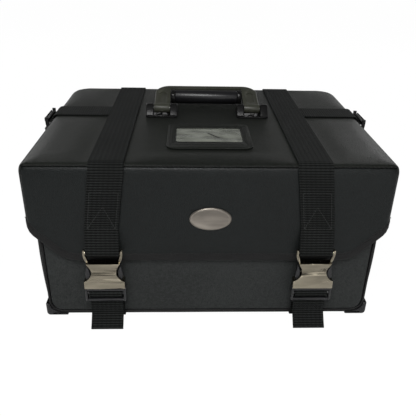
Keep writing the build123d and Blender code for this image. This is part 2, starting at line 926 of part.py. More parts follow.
def window_film():
    middle = front_y + window_front_margin + window_opening_front_margin + window_opening_depth / 2
    film = Pos(0, middle) * RectangleRounded(
        window_opening_width - 2 * fit_gap, window_opening_depth - 2 * fit_gap, window_opening_radius
    )
    return slab(film, case_height + fit_gap, case_height + fit_gap + film_thickness)


def badge_plate():
    oval = Pos(0, badge_centre_height) * Ellipse(badge_width / 2, badge_height / 2)
    plate = front_slab(oval, front_y - badge_thickness, front_y)
    return chamfer(plate.faces().sort_by(Axis.Y)[0].edges(), badge_bevel)


def parts():
    """Every node's name and shape, before the case is centred."""
    nodes = {
        "base_wall_board": base_wall_board(),
        "base_front_board": base_front_board(),
        "base_bottom_board": base_bottom_board(),
        "base_side_cover": base_side_cover(),
        "base_front_panel": base_front_panel(),
        "front_panel_piping": front_panel_piping(),
        "base_bottom_cover": base_bottom_cover(),
        "base_lining": base_lining(),
        "base_rim_binding": base_rim_binding(),
        "corner_protectors": corner_protectors(),
        "hinge_strip": hinge_strip(),
        "lid_top_panel": lid_top_panel(),
        "lid_top_board": lid_top_board(),
        "lid_lining": lid_lining(),
        "lid_side_band": lid_side_band(),
        "lid_edge_binding": lid_edge_binding(),
        "lid_front_flap": lid_front_flap(),
        "flap_binding": flap_binding(),
        "window_frame": window_frame(),
        "window_film": window_film(),
        "badge_plate": badge_plate(),
        "handle_frame": handle_frame(),
        "handle_grip": handle_grip(),
        "handle_collars": handle_collars(),
        "handle_pins": handle_pins(),
        "handle_screws": handle_screws(),
        "handle_backing_plate": handle_backing_plate(),
    }
    for name, side in (("left", -1), ("right", 1)):
        nodes[f"{name}_handle_foot"] = handle_foot(side)
        nodes[f"{name}_top_strap"] = top_strap(side)
        nodes[f"{name}_side_strap"] = side_strap(side)
        nodes[f"front_{name}_lower_strap"] = front_lower_strap(side)
        nodes[f"side_{name}_lower_strap"] = side_lower_strap(side)
        for row, place in (("front", front_place(side)), ("side", side_place(side))):
            nodes[f"{row}_{name}_socket"] = place * buckle_socket()
            nodes[f"{row}_{name}_tongue"] = place * buckle_tongue()
            nodes[f"{row}_{name}_arm_a"] = place * buckle_arm(-1)
            nodes[f"{row}_{name}_arm_b"] = place * buckle_arm(1)
    return nodes


os.makedirs("parts", exist_ok=True)
for node, shape in parts().items():
    export_step(Pos(0, case_shift, 0) * shape, f"parts/{node}.step")
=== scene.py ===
import math
from functools import partial

import bpy
from mathutils import Matrix, Vector, noise


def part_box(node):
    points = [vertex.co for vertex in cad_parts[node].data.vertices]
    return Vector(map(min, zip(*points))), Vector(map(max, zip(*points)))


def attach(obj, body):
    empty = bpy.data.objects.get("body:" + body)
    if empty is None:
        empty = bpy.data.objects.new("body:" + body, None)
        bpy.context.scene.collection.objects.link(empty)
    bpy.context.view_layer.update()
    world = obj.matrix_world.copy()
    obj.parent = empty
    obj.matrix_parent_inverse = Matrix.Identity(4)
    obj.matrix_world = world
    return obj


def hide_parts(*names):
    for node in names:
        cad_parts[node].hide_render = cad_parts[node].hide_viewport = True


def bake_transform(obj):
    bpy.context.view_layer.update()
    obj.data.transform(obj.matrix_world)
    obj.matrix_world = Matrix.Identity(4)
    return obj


bl_info = {
    "name": "Cosmetic case",
    "version": (1, 0, 0),
    "blender": (4, 5, 0),
    "location": "View3D > Sidebar > Case",
    "description": "Dresses the frame of a soft-sided cosmetic case in leather, webbing and plastic",
    "category": "Object",
}

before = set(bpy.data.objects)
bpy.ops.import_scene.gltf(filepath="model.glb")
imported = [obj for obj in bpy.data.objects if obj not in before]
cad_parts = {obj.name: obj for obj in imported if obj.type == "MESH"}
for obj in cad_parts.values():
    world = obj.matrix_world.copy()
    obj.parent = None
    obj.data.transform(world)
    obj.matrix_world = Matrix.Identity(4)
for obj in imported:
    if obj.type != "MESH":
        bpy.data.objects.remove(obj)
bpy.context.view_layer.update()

_, lid_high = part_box("lid_top_panel")
band_low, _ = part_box("lid_side_band")
flap_low, flap_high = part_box("lid_front_flap")
panel_low, panel_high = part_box("base_front_panel")
wall_low, wall_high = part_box("base_wall_board")
cover_low, cover_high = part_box("base_side_cover")
floor_low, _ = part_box("base_bottom_cover")

# Sizes that part.py has too, in metres
LID_FRONT_RADIUS = 0.008
LID_BACK_RADIUS = 0.027
FLAP_CORNER_RISE = 0.0434
FLAP_CORNER_RADIUS = 0.028
BINDING_WIDTH = 0.009
BAR_STAND_OFF = 0.008
FRONT_BAR_HEIGHT = 0.101
SIDE_BAR_HEIGHT = lid_high.z - 0.006
SIDE_BAR_X = lid_high.x + BAR_STAND_OFF
SIDE_STRAP_Y = 0.037
BAR_RADIUS = 0.002
LADDER_BAR_RADIUS = 0.0016
LADDER_DROP = 0.055
TONGUE_DROP = 0.0652
TONGUE_SLIM = 0.0018
TOP_STRAP_X = 0.112
BUCKLE_X = 0.121
STITCH_FOOT = 0.131
STITCH_HEAD = 0.169
PANEL_CORNER_RADIUS = 0.013
COVER_FOOT = 0.005
COVER_BULGE = 0.0096
COVER_HEAD = 0.008
BASE_BACK_RADIUS = 0.0205
FRONT_TAIL_REACH = 0.020

SIDES = (("left", -1), ("right", 1))
FRONT_FACE = Vector((0, -1, 0))
UP = Vector((0, 0, 1))
WHITE = (1.0, 1.0, 1.0, 1.0)

# Sizes of the sewing and the weave, in metres
STRAP_GAP = 0.00015
SEAM_OVERLAP = 0.0012
SEAM_PITCH = 0.0046
SEAM_STITCH = 0.0029
SEAM_GIRTH = 0.0014
BOX_PITCH = 0.0034
HINGE_PITCH = 0.004
HINGE_THICKNESS = 0.0012
RIB_PITCH = 0.0052
PICK_PITCH = 0.0030
YARN_PITCH = 0.0013

PUFF_FRAMES = 20


# Sizes and colours that a user may change


def measure(name, description, default):
    return bpy.props.FloatProperty(name=name, description=description, default=default, unit="LENGTH")


def colour(name, description, default):
    return bpy.props.FloatVectorProperty(
        name=name, description=description, default=default, subtype="COLOR"
    )


class CaseSizes(bpy.types.PropertyGroup):
    roll: measure("Edge roll", "Radius of the lid's rolled edges", 0.009)
    seam_angle: bpy.props.FloatProperty(
        name="Seam angle",
        description="How far over the edge roll the seam lies",
        default=math.radians(50),
        subtype="ANGLE",
    )
    seam_dip: measure("Seam dip", "Depth of the groove at a seam", 0.0006)
    leather: measure("Padded thickness", "Thickness of the padded covers", 0.0026)
    puff: measure("Puff", "Most that the padding rises over its pattern", 0.0016)
    grid: measure("Mesh pitch", "Size of a face on the covers", 0.005)
    strap_width: measure("Strap width", "Width of the webbing", 0.038)
    strap_thickness: measure("Strap thickness", "Thickness of the webbing", 0.0015)
    stitch: measure("Stitch length", "Length of one sewn stitch", 0.0026)
    stitch_pitch: measure("Stitch pitch", "Distance from one stitch to the next", 0.0038)
    hard_edge: measure("Moulded edge", "Rounding of the hardware's edges", 0.00045)


class CaseColours(bpy.types.PropertyGroup):
    top: colour("Top leather", "Leather on the lid's top", (0.0080, 0.0092, 0.0076))
    front: colour("Front leather", "Leather on the lid's flap", (0.0046, 0.0060, 0.0059))
    base: colour("Base leather", "Leather on the base's front", (0.024, 0.026, 0.0255))
    side: colour("Side leather", "Leather on the sides and back", (0.020, 0.021, 0.020))
    binding: colour("Binding", "Tape round the edges", (0.0035, 0.0035, 0.0035))
    webbing: colour("Webbing", "Woven straps", (0.0075, 0.0082, 0.0078))
    thread: colour("Thread", "Sewing thread of the straps", (0.019, 0.020, 0.019))
    seam_thread: colour("Seam thread", "Sewing thread of the leather's seams", (0.0025, 0.0025, 0.0025))
    plating: colour("Plating", "Smoked plating of the buckles", (0.24, 0.215, 0.165))
    moulding: colour("Moulding", "Black plastic of the buckles", (0.014, 0.014, 0.015))
    handle: colour("Handle plate", "Olive-grey handle plate", (0.031, 0.032, 0.024))
    foot: colour("Handle foot", "Glossy handle feet", (0.006, 0.006, 0.006))
    grip: colour("Grip", "Satin black grip", (0.007, 0.007, 0.008))
    badge: colour("Badge", "Badge plate", (0.20, 0.18, 0.155))
    film: colour("Film", "Clear window film", (0.15, 0.158, 0.135))
    lining: colour("Lining", "Cloth inside the case", (0.012, 0.012, 0.013))
    board: colour("Board", "Fibreboard", (0.16, 0.105, 0.06))
    steel: colour("Steel", "Screws and pins", (0.45, 0.45, 0.46))


# Shader wiring


class Wire:
    """A shader socket. Sums, differences and products of wires and numbers add Math nodes."""

    def __init__(self, shader, socket):
        self.shader = shader
        self.socket = socket

    def math(self, operation, first, second):
        inputs = {0: first, 1: second}
        return self.shader.node("ShaderNodeMath", {"operation": operation}, inputs)["Value"]

    def __add__(self, other):
        return self.math("ADD", self, other)

    def __sub__(self, other):
        return self.math("SUBTRACT", self, other)

    def __rsub__(self, other):
        return self.math("SUBTRACT", other, self)

    def __mul__(self, other):
        return self.math("MULTIPLY", self, other)

    __radd__ = __add__

    def most(self, other):
        return self.math("MAXIMUM", self, other)

    def size(self):
        return self.math("ABSOLUTE", self, 0.0)

    def above(self, edge):
        return self.math("GREATER_THAN", self, edge)

    def wave(self, length):
        """0 to 1 and back once in each length."""
        return self.math("SINE", self * (2 * math.pi / length), 0.0) * 0.5 + 0.5

    def part(self, low, high):
        """0 below low, 1 above high and smooth between them."""
        return self.shader.node(
            "ShaderNodeMapRange",
            {"interpolation_type": "SMOOTHSTEP"},
            {"Value": self, "From Min": low, "From Max": high},
        )["Result"]


class Shader:
    """The nodes of one material, or of the world, and the wires between them."""

    def __init__(self, name, owner=None):
        self.owner = owner or bpy.data.materials.new(name)
        self.owner.use_nodes = True
        self.tree = self.owner.node_tree
        self.tree.nodes.clear()

    def node(self, kind, settings=None, inputs=None):
        """Adds a node, sets it, fills its sockets and gives back its outputs by name."""
        made = self.tree.nodes.new(kind)
        for key, value in (settings or {}).items():
            setattr(made, key, value)
        for key, value in (inputs or {}).items():
            if isinstance(value, Wire):
                self.tree.links.new(value.socket, made.inputs[key])
            else:
                made.inputs[key].default_value = value
        return {output.name: Wire(self, output) for output in made.outputs if output.enabled}

    def place(self):
        """A point of the piece in metres, in the case's own frame."""
        return self.node("ShaderNodeTexCoord")["Object"]

    def split(self, vector):
        parts = self.node("ShaderNodeSeparateXYZ", None, {0: vector})
        return parts["X"], parts["Y"], parts["Z"]

    def across_along(self):
        """The piece's own map: metres across and metres along."""
        across, along, _ = self.split(self.node("ShaderNodeUVMap")["UV"])
        return across, along

    def stretched(self, vector, scale):
        return self.node("ShaderNodeMapping", None, {"Vector": vector, "Scale": scale})["Vector"]

    def cloud(self, vector, scale, detail=3.0):
        inputs = {"Vector": vector, "Scale": scale, "Detail": detail}
        return self.node("ShaderNodeTexNoise", None, inputs)["Fac"]

    def pebbles(self, vector, scale):
        """Distance to the nearest pebble's edge, for a leather grain."""
        inputs = {"Vector": vector, "Scale": scale}
        return self.node("ShaderNodeTexVoronoi", {"feature": "DISTANCE_TO_EDGE"}, inputs)["Distance"]

    def blend(self, share, first, second):
        """A colour between two colours."""
        mixed = self.node("ShaderNodeMix", {"data_type": "RGBA"}, {0: share, 6: first, 7: second})
        return mixed["Result"]

    def bump(self, height, strength, distance, normal=None):
        inputs = {"Height": height, "Strength": strength, "Distance": distance}
        if normal is not None:
            inputs["Normal"] = normal
        return self.node("ShaderNodeBump", None, inputs)["Normal"]

    def surface(self, **sockets):
        """Ends the material in one Principled shader; names have _ for a space."""
        inputs = {name.replace("_", " "): value for name, value in sockets.items()}
        principled = self.node("ShaderNodeBsdfPrincipled", None, inputs)["BSDF"]
        self.node("ShaderNodeOutputMaterial", None, {"Surface": principled})
        return self.owner


def rgba(colour, light=1.0):
    return (colour[0] * light, colour[1] * light, colour[2] * light, 1.0)


# Materials


def leather(name, colour, dull, grain, shine=0.11):
    """Pebbled soft leather: fine grain, slow changes of tone and a dull shine."""
    shader = Shader(name)
    place = shader.place()
    patches = shader.cloud(place, 11.0)
    mottle = shader.cloud(place, 330.0, 2.0)
    fine = shader.cloud(place, 1500.0, 2.0)
    hills = shader.pebbles(place, 480.0).part(0.0, 0.16)
    base = shader.blend(patches.part(0.3, 0.7), rgba(colour, 0.86), rgba(colour, 1.14))
    base = shader.blend(mottle.part(0.35, 0.65) * 0.5, base, rgba(colour, 1.45))
    base = shader.blend((1 - hills) * 0.5, base, rgba(colour, 0.45))
    slow = shader.bump(patches, 0.25, 0.003)
    return shader.surface(
        Base_Color=base,
        Roughness=dull + (1 - hills) * 0.1 + (patches - 0.5) * 0.12,
        Normal=shader.bump(hills * 0.8 + mottle * 0.8 + fine * 0.4, grain, 0.0003, slow),
        Specular_IOR_Level=shine,
    )


def tape(name, colour):
    """Narrow folded binding tape with a fine cross rib."""
    shader = Shader(name)
    place = shader.place()
    x, y, z = shader.split(place)
    rib = (x + y + z * 0.3).wave(0.0012)
    slow = shader.cloud(place, 40.0)
    base = shader.blend(rib * 0.5 + slow * 0.5, rgba(colour, 0.6), rgba(colour, 1.6))
    return shader.surface(
        Base_Color=base,
        Roughness=0.6 + (slow - 0.5) * 0.2,
        Normal=shader.bump(rib + slow, 0.3, 0.0002),
        Specular_IOR_Level=0.25,
    )


def webbing(name, colour):
    """Woven strap: ribs along it and picks across it, from its own map in metres."""
    shader = Shader(name)
    across, along = shader.across_along()
    place = shader.place()
    fluff = shader.cloud(place, 1300.0, 2.0)
    slow = shader.cloud(place, 26.0, 2.0)
    ribs = across.wave(RIB_PITCH)
    shift = across.wave(RIB_PITCH / 2).above(0.5) * 0.14
    picks = (along * (1 / PICK_PITCH) + shift).wave(1.0)
    ends = across.wave(YARN_PITCH)
    height = ribs * 0.2 + picks * 0.65 + ends * 0.15 + fluff * 0.25
    # Colour follows the weave's height: the woven pattern, with a painted highlight on the raised yarns
    # and painted shade on the low ones.
    base = shader.blend(height.part(0.35, 1.05), rgba(colour, 0.22), rgba(colour, 2.7))
    base = shader.blend(slow.part(0.35, 0.7) * 0.35, base, rgba(colour, 0.6))
    return shader.surface(
        Base_Color=base,
        Roughness=0.8 - picks * 0.12,
        Normal=shader.bump(height, 0.9, 0.0008),
        Specular_IOR_Level=0.08,
    )


def moulded(name, colour, rough, metal=0.0, coat=0.0, shine=0.4):
    """Moulded or plated hardware: faint flow marks, a fine texture and paler edges, a painted highlight.
    """
    shader = Shader(name)
    place = shader.place()
    marks = shader.cloud(shader.stretched(place, (1.0, 1.0, 4.0)), 50.0)
    speck = shader.cloud(place, 1800.0, 2.0)
    # Convex edges, found by pointiness, are painted paler: a painted highlight along the edges.
    edge_highlight = shader.node("ShaderNodeNewGeometry")["Pointiness"].part(0.52, 0.62)
    base = shader.blend(marks.part(0.3, 0.7), rgba(colour, 0.88), rgba(colour, 1.12))
    base = shader.blend(edge_highlight * 0.6, base, rgba(colour, 1.8))
    return shader.surface(
        Base_Color=base,
        Roughness=rough + (marks - 0.5) * 0.1 + speck * 0.04,
        Metallic=metal,
        Coat_Weight=coat,
        Coat_Roughness=0.12,
        Specular_IOR_Level=shine,
        Normal=shader.bump(speck * 0.4 + marks, 0.1, 0.0003),
    )


def lining(name, colour):
    """Plain woven lining."""
    shader = Shader(name)
    place = shader.place()
    x, y, z = shader.split(place)
    weave = x.wave(0.0012) * (y + z).wave(0.0012)
    slow = shader.cloud(place, 18.0)
    base = shader.blend(weave, rgba(colour, 0.6), rgba(colour, 1.5))
    base = shader.blend(slow.part(0.3, 0.7) * 0.4, base, rgba(colour, 0.7))
    return shader.surface(
        Base_Color=base,
        Roughness=0.84 + (weave - 0.5) * 0.1,
        Normal=shader.bump(weave + slow * 2.0, 0.3, 0.0003),
        Specular_IOR_Level=0.2,
    )


def fibreboard(name, colour):
    """Pressed board with short fibres."""
    shader = Shader(name)
    place = shader.place()
    fibres = shader.cloud(shader.stretched(place, (1.0, 7.0, 7.0)), 160.0, 5.0)
    base = shader.blend(fibres, rgba(colour, 0.7), rgba(colour, 1.25))
    return shader.surface(
        Base_Color=base, Roughness=0.8 + fibres * 0.1, Normal=shader.bump(fibres, 0.2, 0.0004)
    )


def clear_film(name, colour):
    """Soft clear film, rumpled and a little milky, with a painted dark reflection along a diagonal
    crease.
    """
    shader = Shader(name)
    place = shader.place()
    folds = shader.cloud(shader.stretched(place, (1.0, 2.2, 1.0)), 40.0, 2.0)
    low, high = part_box("window_film")
    x, y, _ = shader.split(place)
    right = x - (low.x * 0.43 + high.x * 0.57)
    back = y - (low.y * 0.55 + high.y * 0.45)
    beside = (right * 0.8 + back * 0.6 + (folds - 0.5) * 0.004).size()
    beyond = (right * 0.6 - back * 0.8).size()
    # A dark line along a diagonal crease: a painted dark reflection, taking the film's colour down to 8%
    # there.
    crease = (1 - beside.part(0.0006, 0.0022)) * (1 - beyond.part(0.008, 0.014))
    base = shader.blend(folds.part(0.3, 0.7), rgba(colour, 0.65), rgba(colour, 1.35))
    base = shader.blend(crease, base, rgba(colour, 0.08))
    return shader.surface(
        Base_Color=base,
        Roughness=0.14 + folds * 0.18,
        Alpha=0.7 + folds * 0.3,
        Normal=shader.bump(folds, 0.5, 0.003),
        Specular_IOR_Level=0.4,
        Coat_Weight=0.15,
    )


finishes = {}


def make_materials():
    """Every finish of the case by its name."""
    tones = bpy.context.scene.case_colours
    finishes.update(
        top_leather=leather("leather of the top", tones.top, 0.42, 0.4, 0.13),
        front_leather=leather("leather of the flap", tones.front, 0.38, 0.4, 0.2),
        base_leather=leather("leather of the base", tones.base, 0.5, 0.4),
        side_leather=leather("leather of the sides", tones.side, 0.5, 0.4),
        bottom_cover=leather("leather of the bottom", tones.side, 0.7, 0.6),
        binding=tape("binding tape", tones.binding),
        webbing=webbing("woven webbing", tones.webbing),
        thread=tape("strap thread", tones.thread),
        seam_thread=tape("leather thread", tones.seam_thread),
        plating=moulded("smoked plating", tones.plating, 0.13, metal=1.0),
        buckle_plastic=moulded("buckle moulding", tones.moulding, 0.3, coat=0.1, shine=0.3),
        handle_plastic=moulded("handle moulding", tones.handle, 0.36, shine=0.25),
        foot_plastic=moulded("glossy foot", tones.foot, 0.24, shine=0.14),
        grip_plastic=moulded("satin grip", tones.grip, 0.3, shine=0.3),
        protector_plastic=moulded("corner moulding", tones.moulding, 0.5, shine=0.3),
        badge=moulded("badge metal", tones.badge, 0.34, metal=0.7),
        steel=moulded("plain steel", tones.steel, 0.3, metal=1.0),
        film=clear_film("window film", tones.film),
        lining_cloth=lining("lining cloth", tones.lining),
        board=fibreboard("fibre board", tones.board),
    )


# Working by hand


def deselect():
    if bpy.context.object and bpy.context.object.mode != "OBJECT":
        bpy.ops.object.mode_set(mode="OBJECT")
    bpy.ops.object.select_all(action="DESELECT")


def choose(piece):
    deselect()
    piece.select_set(True)
    bpy.context.view_layer.objects.active = piece


def edit(piece, *steps):
    """Runs mesh operators on the whole piece, each given as a call with no arguments."""
    choose(piece)
    bpy.ops.object.mode_set(mode="EDIT")
    bpy.ops.mesh.select_all(action="SELECT")
    for step in steps:
        step()
    bpy.ops.object.mode_set(mode="OBJECT")


def pick(piece, test):
    """Leaves a piece in edit mode with only the faces that test(face) names selected."""
    choose(piece)
    bpy.ops.object.mode_set(mode="EDIT")
    bpy.ops.mesh.select_mode(type="FACE")
    bpy.ops.mesh.select_all(action="DESELECT")
    bpy.ops.object.mode_set(mode="OBJECT")
    for face in piece.data.polygons:
        face.select = test(face)
    bpy.ops.object.mode_set(mode="EDIT")


def outward():
    bpy.ops.mesh.normals_make_consistent(inside=False)


def modify(piece, kind, **settings):
    choose(piece)
    modifier = piece.modifiers.new(kind.title(), kind)
    for key, value in settings.items():
        setattr(modifier, key, value)
    bpy.ops.object.modifier_apply(modifier=modifier.name)


def smooth(piece, angle=None):
    choose(piece)
    if angle is None:
        bpy.ops.object.shade_smooth()
    else:
        bpy.ops.object.shade_smooth_by_angle(angle=math.radians(angle))


def paint(piece, finish):
    piece.data.materials.clear()
    piece.data.materials.append(finishes[finish])


def settle(piece, body, finish, slot=None, nodes=()):
    """Gives a finished piece its material and its place on a body, and hides the nodes it stands for."""
    paint(piece, finish)
    slot or finish
    if nodes:
        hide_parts(*nodes)
    if body:
        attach(piece, body)
    return piece


def surface(name, across, along, place):
    """A grid of faces whose corners are put at place(u, v), with u and v as its own map."""
    deselect()
    columns = len(across) - 1
    rows = len(along) - 1
    bpy.ops.mesh.primitive_grid_add(x_subdivisions=columns, y_subdivisions=rows, size=2.0, calc_uvs=True)
    piece = bpy.context.object
    piece.name = name
    piece.data.name = name
    mesh = piece.data
    corners = []
    for vertex in mesh.vertices:
        u = across[round((vertex.co.x + 1) / 2 * columns)]
        v = along[round((vertex.co.y + 1) / 2 * rows)]
        corners.append((u, v))
        vertex.co = place(u, v)
    layer = mesh.uv_layers[0].data
    for loop in mesh.loops:
        layer[loop.index].uv = corners[loop.vertex_index]
    return piece


def steps(low, high, pitch, fringe=(0.0008, 0.0018, 0.003, 0.005)):
    """Places from low to high, about a pitch apart, and closer together at both ends."""
    near = [low] + [low + step for step in fringe]
    far = [high - step for step in reversed(fringe)] + [high]
    count = max(2, round((far[0] - near[-1]) / pitch))
    middle = [near[-1] + (far[0] - near[-1]) * step / count for step in range(1, count)]
    return near + middle + far


def even(low, high, pitch):
    count = max(1, round((high - low) / pitch))
    return [low + (high - low) * step / count for step in range(count + 1)]


def puff(piece, held, cap):
    """Lets a padded shell swell by cloth simulation, up to a cap, with what held(point) names
    kept in place."""
    rest = [vertex.co.copy() for vertex in piece.data.vertices]
    pins = piece.vertex_groups.new(name="pins")
    for vertex in piece.data.vertices:
        pins.add([vertex.index], held(vertex.co), "REPLACE")
    cloth = piece.modifiers.new("Cloth", "CLOTH")
    cloth.settings.quality = 6
    cloth.settings.mass = 0.3
    cloth.settings.tension_stiffness = 30
    cloth.settings.compression_stiffness = 30
    cloth.settings.bending_stiffness = 4
    cloth.settings.use_pressure = True
    cloth.settings.uniform_pressure_force = 5.0
    cloth.settings.vertex_group_mass = "pins"
    cloth.settings.effector_weights.gravity = 0
    cloth.collision_settings.use_collision = False
    cloth.point_cache.frame_end = PUFF_FRAMES
    for number in range(1, PUFF_FRAMES + 1):
        bpy.context.scene.frame_set(number)
    choose(piece)
    bpy.ops.object.modifier_apply(modifier=cloth.name)
    bpy.context.scene.frame_set(1)
    for vertex, start in zip(piece.data.vertices, rest):
        move = vertex.co - start
        if move.length > cap:
            vertex.co = start + move * (cap / move.length)
    piece.vertex_groups.clear()


def padded_cover(sheet, inner, held, body, finish, slot, nodes, cap=None):
    modify(sheet, "SOLIDIFY", thickness=inner, offset=-1.0)
    edit(sheet, outward)
    puff(sheet, held, cap or bpy.context.scene.case_sizes.puff)
    modify(sheet, "SUBSURF", levels=1, render_levels=1)
    smooth(sheet, 50)
    settle(sheet, body, finish, slot, nodes)


def from_node(name, node, body, finish, slot=None, edge=None, segments=2, angle=35):
    """A clean copy of a node with its edges rounded, standing for the node."""
    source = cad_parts[node]
    piece = bpy.data.objects.new(name, source.data.copy())
    bpy.context.scene.collection.objects.link(piece)

    def clean():
        bpy.ops.mesh.remove_doubles(threshold=0.00001)
        bpy.ops.mesh.dissolve_limited(angle_limit=math.radians(1.0))

    edit(piece, clean)
    width = bpy.context.scene.case_sizes.hard_edge if edge is None else edge
    modify(
        piece,
        "BEVEL",
        width=width,
        segments=segments,
        limit_method="ANGLE",
        angle_limit=math.radians(angle),
        harden_normals=True,
    )
    smooth(piece, 40)
    return settle(piece, body, finish, slot, (node,))


def soft_from_node(name, node, body, finish, pitch, wander, slot=None):
    """A copy of a soft node cut into a mesh of faces and made a little uneven."""
    piece = from_node(name, node, body, finish, slot, edge=0.0003, segments=1)
    low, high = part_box(node)
    for axis in range(3):
        direction = Vector()
        direction[axis] = 1.0
        for place in even(low[axis], high[axis], pitch)[1:-1]:
            edit(piece, partial(bpy.ops.mesh.bisect, plane_co=direction * place, plane_no=direction))
    for vertex in piece.data.vertices:
        vertex.co = vertex.co + noise.noise_vector(vertex.co * 22.0) * wander
    smooth(piece, 40)
    return piece


# Lines and outlines


class Plan:
    """The outline of a rounded box seen from above, walked from the middle of its front."""

    def __init__(self, half, front, back, front_radius, back_radius):
        self.half = half
        self.front = front
        self.back = back
        self.front_radius = front_radius
        self.back_radius = back_radius
        self.runs = (
            half - front_radius,
            front_radius * math.pi / 2,
            back - front - front_radius - back_radius,
            back_radius * math.pi / 2,
            half - back_radius,
        )
        self.half_length = sum(self.runs)

    def walk(self, way):
        """The point and outward direction at a way round; a negative way goes to the left."""
        if way < 0:
            x, y, nx, ny = self.walk(-way)
            return -x, y, -nx, ny
        if way > self.half_length:
            x, y, nx, ny = self.walk(2 * self.half_length - way)
            return -x, y, -nx, ny
        front_run, front_turn, side_run, back_turn, _ = self.runs
        if way <= front_run:
            return way, self.front, 0.0, -1.0
        way -= front_run
        if way <= front_turn:
            angle = way / self.front_radius - math.pi / 2
            nx, ny = math.cos(angle), math.sin(angle)
            centre = (self.half - self.front_radius, self.front + self.front_radius)
            return centre[0] + self.front_radius * nx, centre[1] + self.front_radius * ny, nx, ny
        way -= front_turn
        if way <= side_run:
            return self.half, self.front + self.front_radius + way, 1.0, 0.0
        way -= side_run
        if way <= back_turn:
            angle = way / self.back_radius
            nx, ny = math.cos(angle), math.sin(angle)
            centre = (self.half - self.back_radius, self.back - self.back_radius)
            return centre[0] + self.back_radius * nx, centre[1] + self.back_radius * ny, nx, ny
        way -= back_turn
        return self.half - self.back_radius - way, self.back, 0.0, 1.0

    def half_width(self, y):
        """How far out the outline is at a depth."""
        if y < self.front + self.front_radius:
            short = self.front + self.front_radius - y
            return self.half - self.front_radius + math.sqrt(max(0.0, self.front_radius**2 - short**2))
        if y > self.back - self.back_radius:
            short = y - (self.back - self.back_radius)
            return self.half - self.back_radius + math.sqrt(max(0.0, self.back_radius**2 - short**2))
        return self.half

    def depth(self, x, y):
        """How far inside the outline a point is."""
        middle = (self.front + self.back) / 2
        radius = self.front_radius if y < middle else self.back_radius
        side = self.half - abs(x)
        end = y - self.front if y < middle else self.back - y
        if side < radius and end < radius:
            return radius - math.hypot(radius - side, radius - end)
        return min(side, end)

    def inset(self, amount):
        return Plan(
            self.half - amount,
            self.front + amount,
            self.back - amount,
            self.front_radius - amount,
            self.back_radius - amount,
        )


lid_plan = Plan(lid_high.x, flap_low.y, lid_high.y, LID_FRONT_RADIUS, LID_BACK_RADIUS)

# The front panel's outline stands upright: its foot is the plan's front, and it has no end above
FAR_UP = 1.0
panel_plan = Plan(panel_high.x, panel_low.z, FAR_UP, PANEL_CORNER_RADIUS, PANEL_CORNER_RADIUS)


def seam_way():
    """How far round from the front's middle the flap's leather ends."""
    sizes = bpy.context.scene.case_sizes
    return lid_plan.runs[0] + LID_FRONT_RADIUS * sizes.seam_angle


def seam_inset():
    sizes = bpy.context.scene.case_sizes
    return sizes.roll * (1 - math.cos(sizes.seam_angle))


def seam_height():
    """The top of the rolled wall as unrolled height."""
    sizes = bpy.context.scene.case_sizes
    return lid_high.z - sizes.roll + sizes.roll * sizes.seam_angle


def lid_skin(way, height, lift=0.0):
    """A point of the lid's wall: round the outline and up, then over the rolled edge."""
    roll = bpy.context.scene.case_sizes.roll
    x, y, nx, ny = lid_plan.walk(way)
    over = max(0.0, height - (lid_high.z - roll)) / roll
    out = lift * math.cos(over) - roll * (1 - math.cos(over))
    if over == 0.0:
        return Vector((x + nx * lift, y + ny * lift, height))
    z = lid_high.z - roll + (roll + lift) * math.sin(over)
    return Vector((x + nx * out, y + ny * out, z))


def dip(distance):
    """How far leather sinks near a seam, as it nears it."""
    depth = bpy.context.scene.case_sizes.seam_dip
    return -depth * math.exp(-((distance / 0.0016) ** 2))


def edge_height(way):
    """The height of the lid's lower edge round its outline: the flap's with its slanted and
    rounded corners, then the band's."""
    way = min(abs(way), 2 * lid_plan.half_length - abs(way))
    flat_end = lid_plan.half - FLAP_CORNER_RISE
    reach = FLAP_CORNER_RADIUS * math.tan(math.radians(22.5))
    out = way - flat_end
    if out < -reach:
        return flap_low.z
    if out < reach * math.cos(math.radians(45)):
        over = out + reach
        return flap_low.z + FLAP_CORNER_RADIUS - math.sqrt(FLAP_CORNER_RADIUS**2 - over**2)
    return min(flap_low.z + out, band_low.z)


def strap_x(z):
    """The middle of a top strap on the flap, from the lid's edge to its sewn foot."""
    top = lid_high.z - 0.008
    share = min(1.0, max(0.0, (top - z) / (top - STITCH_FOOT)))
    return TOP_STRAP_X + (BUCKLE_X - TOP_STRAP_X) * share


def near_line(distance, half, soft):
    """1 within half of a line and down to 0 a little way past it."""
    return min(1.0, max(0.0, 1 - (distance - half) / soft))


# Covers


class CASE_OT_top_cover(bpy.types.Operator):
    """Padded leather over the lid's top"""

    bl_idname = "case.top_cover"
    bl_label = "Top cover"

    def execute(self, context):
        sizes = context.scene.case_sizes
        inset = seam_inset()
        plan = lid_plan.inset(inset)
        rows = steps(plan.front, plan.back, sizes.grid)
        columns = [column / plan.half for column in steps(-plan.half, plan.half, sizes.grid)]

        def place(u, y):
            x = u * plan.half_width(y)
            deep = max(lid_plan.depth(x, y), inset)
            over = math.acos(1 - min(1.0, deep / sizes.roll))
            fall = sizes.roll * (1 - math.sin(over))
            sink = dip(deep - inset)
            return Vector((x, y, lid_high.z - 0.0002 - fall + sink))

        def held(point):
            if point.z < lid_high.z - 0.0022:
                return 1.0
            straps = near_line(abs(abs(point.x) - TOP_STRAP_X), sizes.strap_width / 2, 0.012)
            cross = near_line(abs(point.y - SIDE_STRAP_Y), sizes.strap_width / 2, 0.012)
            if abs(point.x) < TOP_STRAP_X:
                past = max(0.0, abs(point.x) - 0.08)
                cross = near_line(math.hypot(past, point.y - 0.029), 0.024, 0.02)
            middle = near_line(abs(point.x), 0.054, 0.01) * near_line(abs(point.y + 0.06), 0.048, 0.01)
            return max(straps, cross, middle)

        sheet = surface("top_cover", columns, rows, place)
        padded_cover(sheet, sizes.leather, held, "lid", "top_leather", None, ("lid_top_panel",))
        return {"FINISHED"}


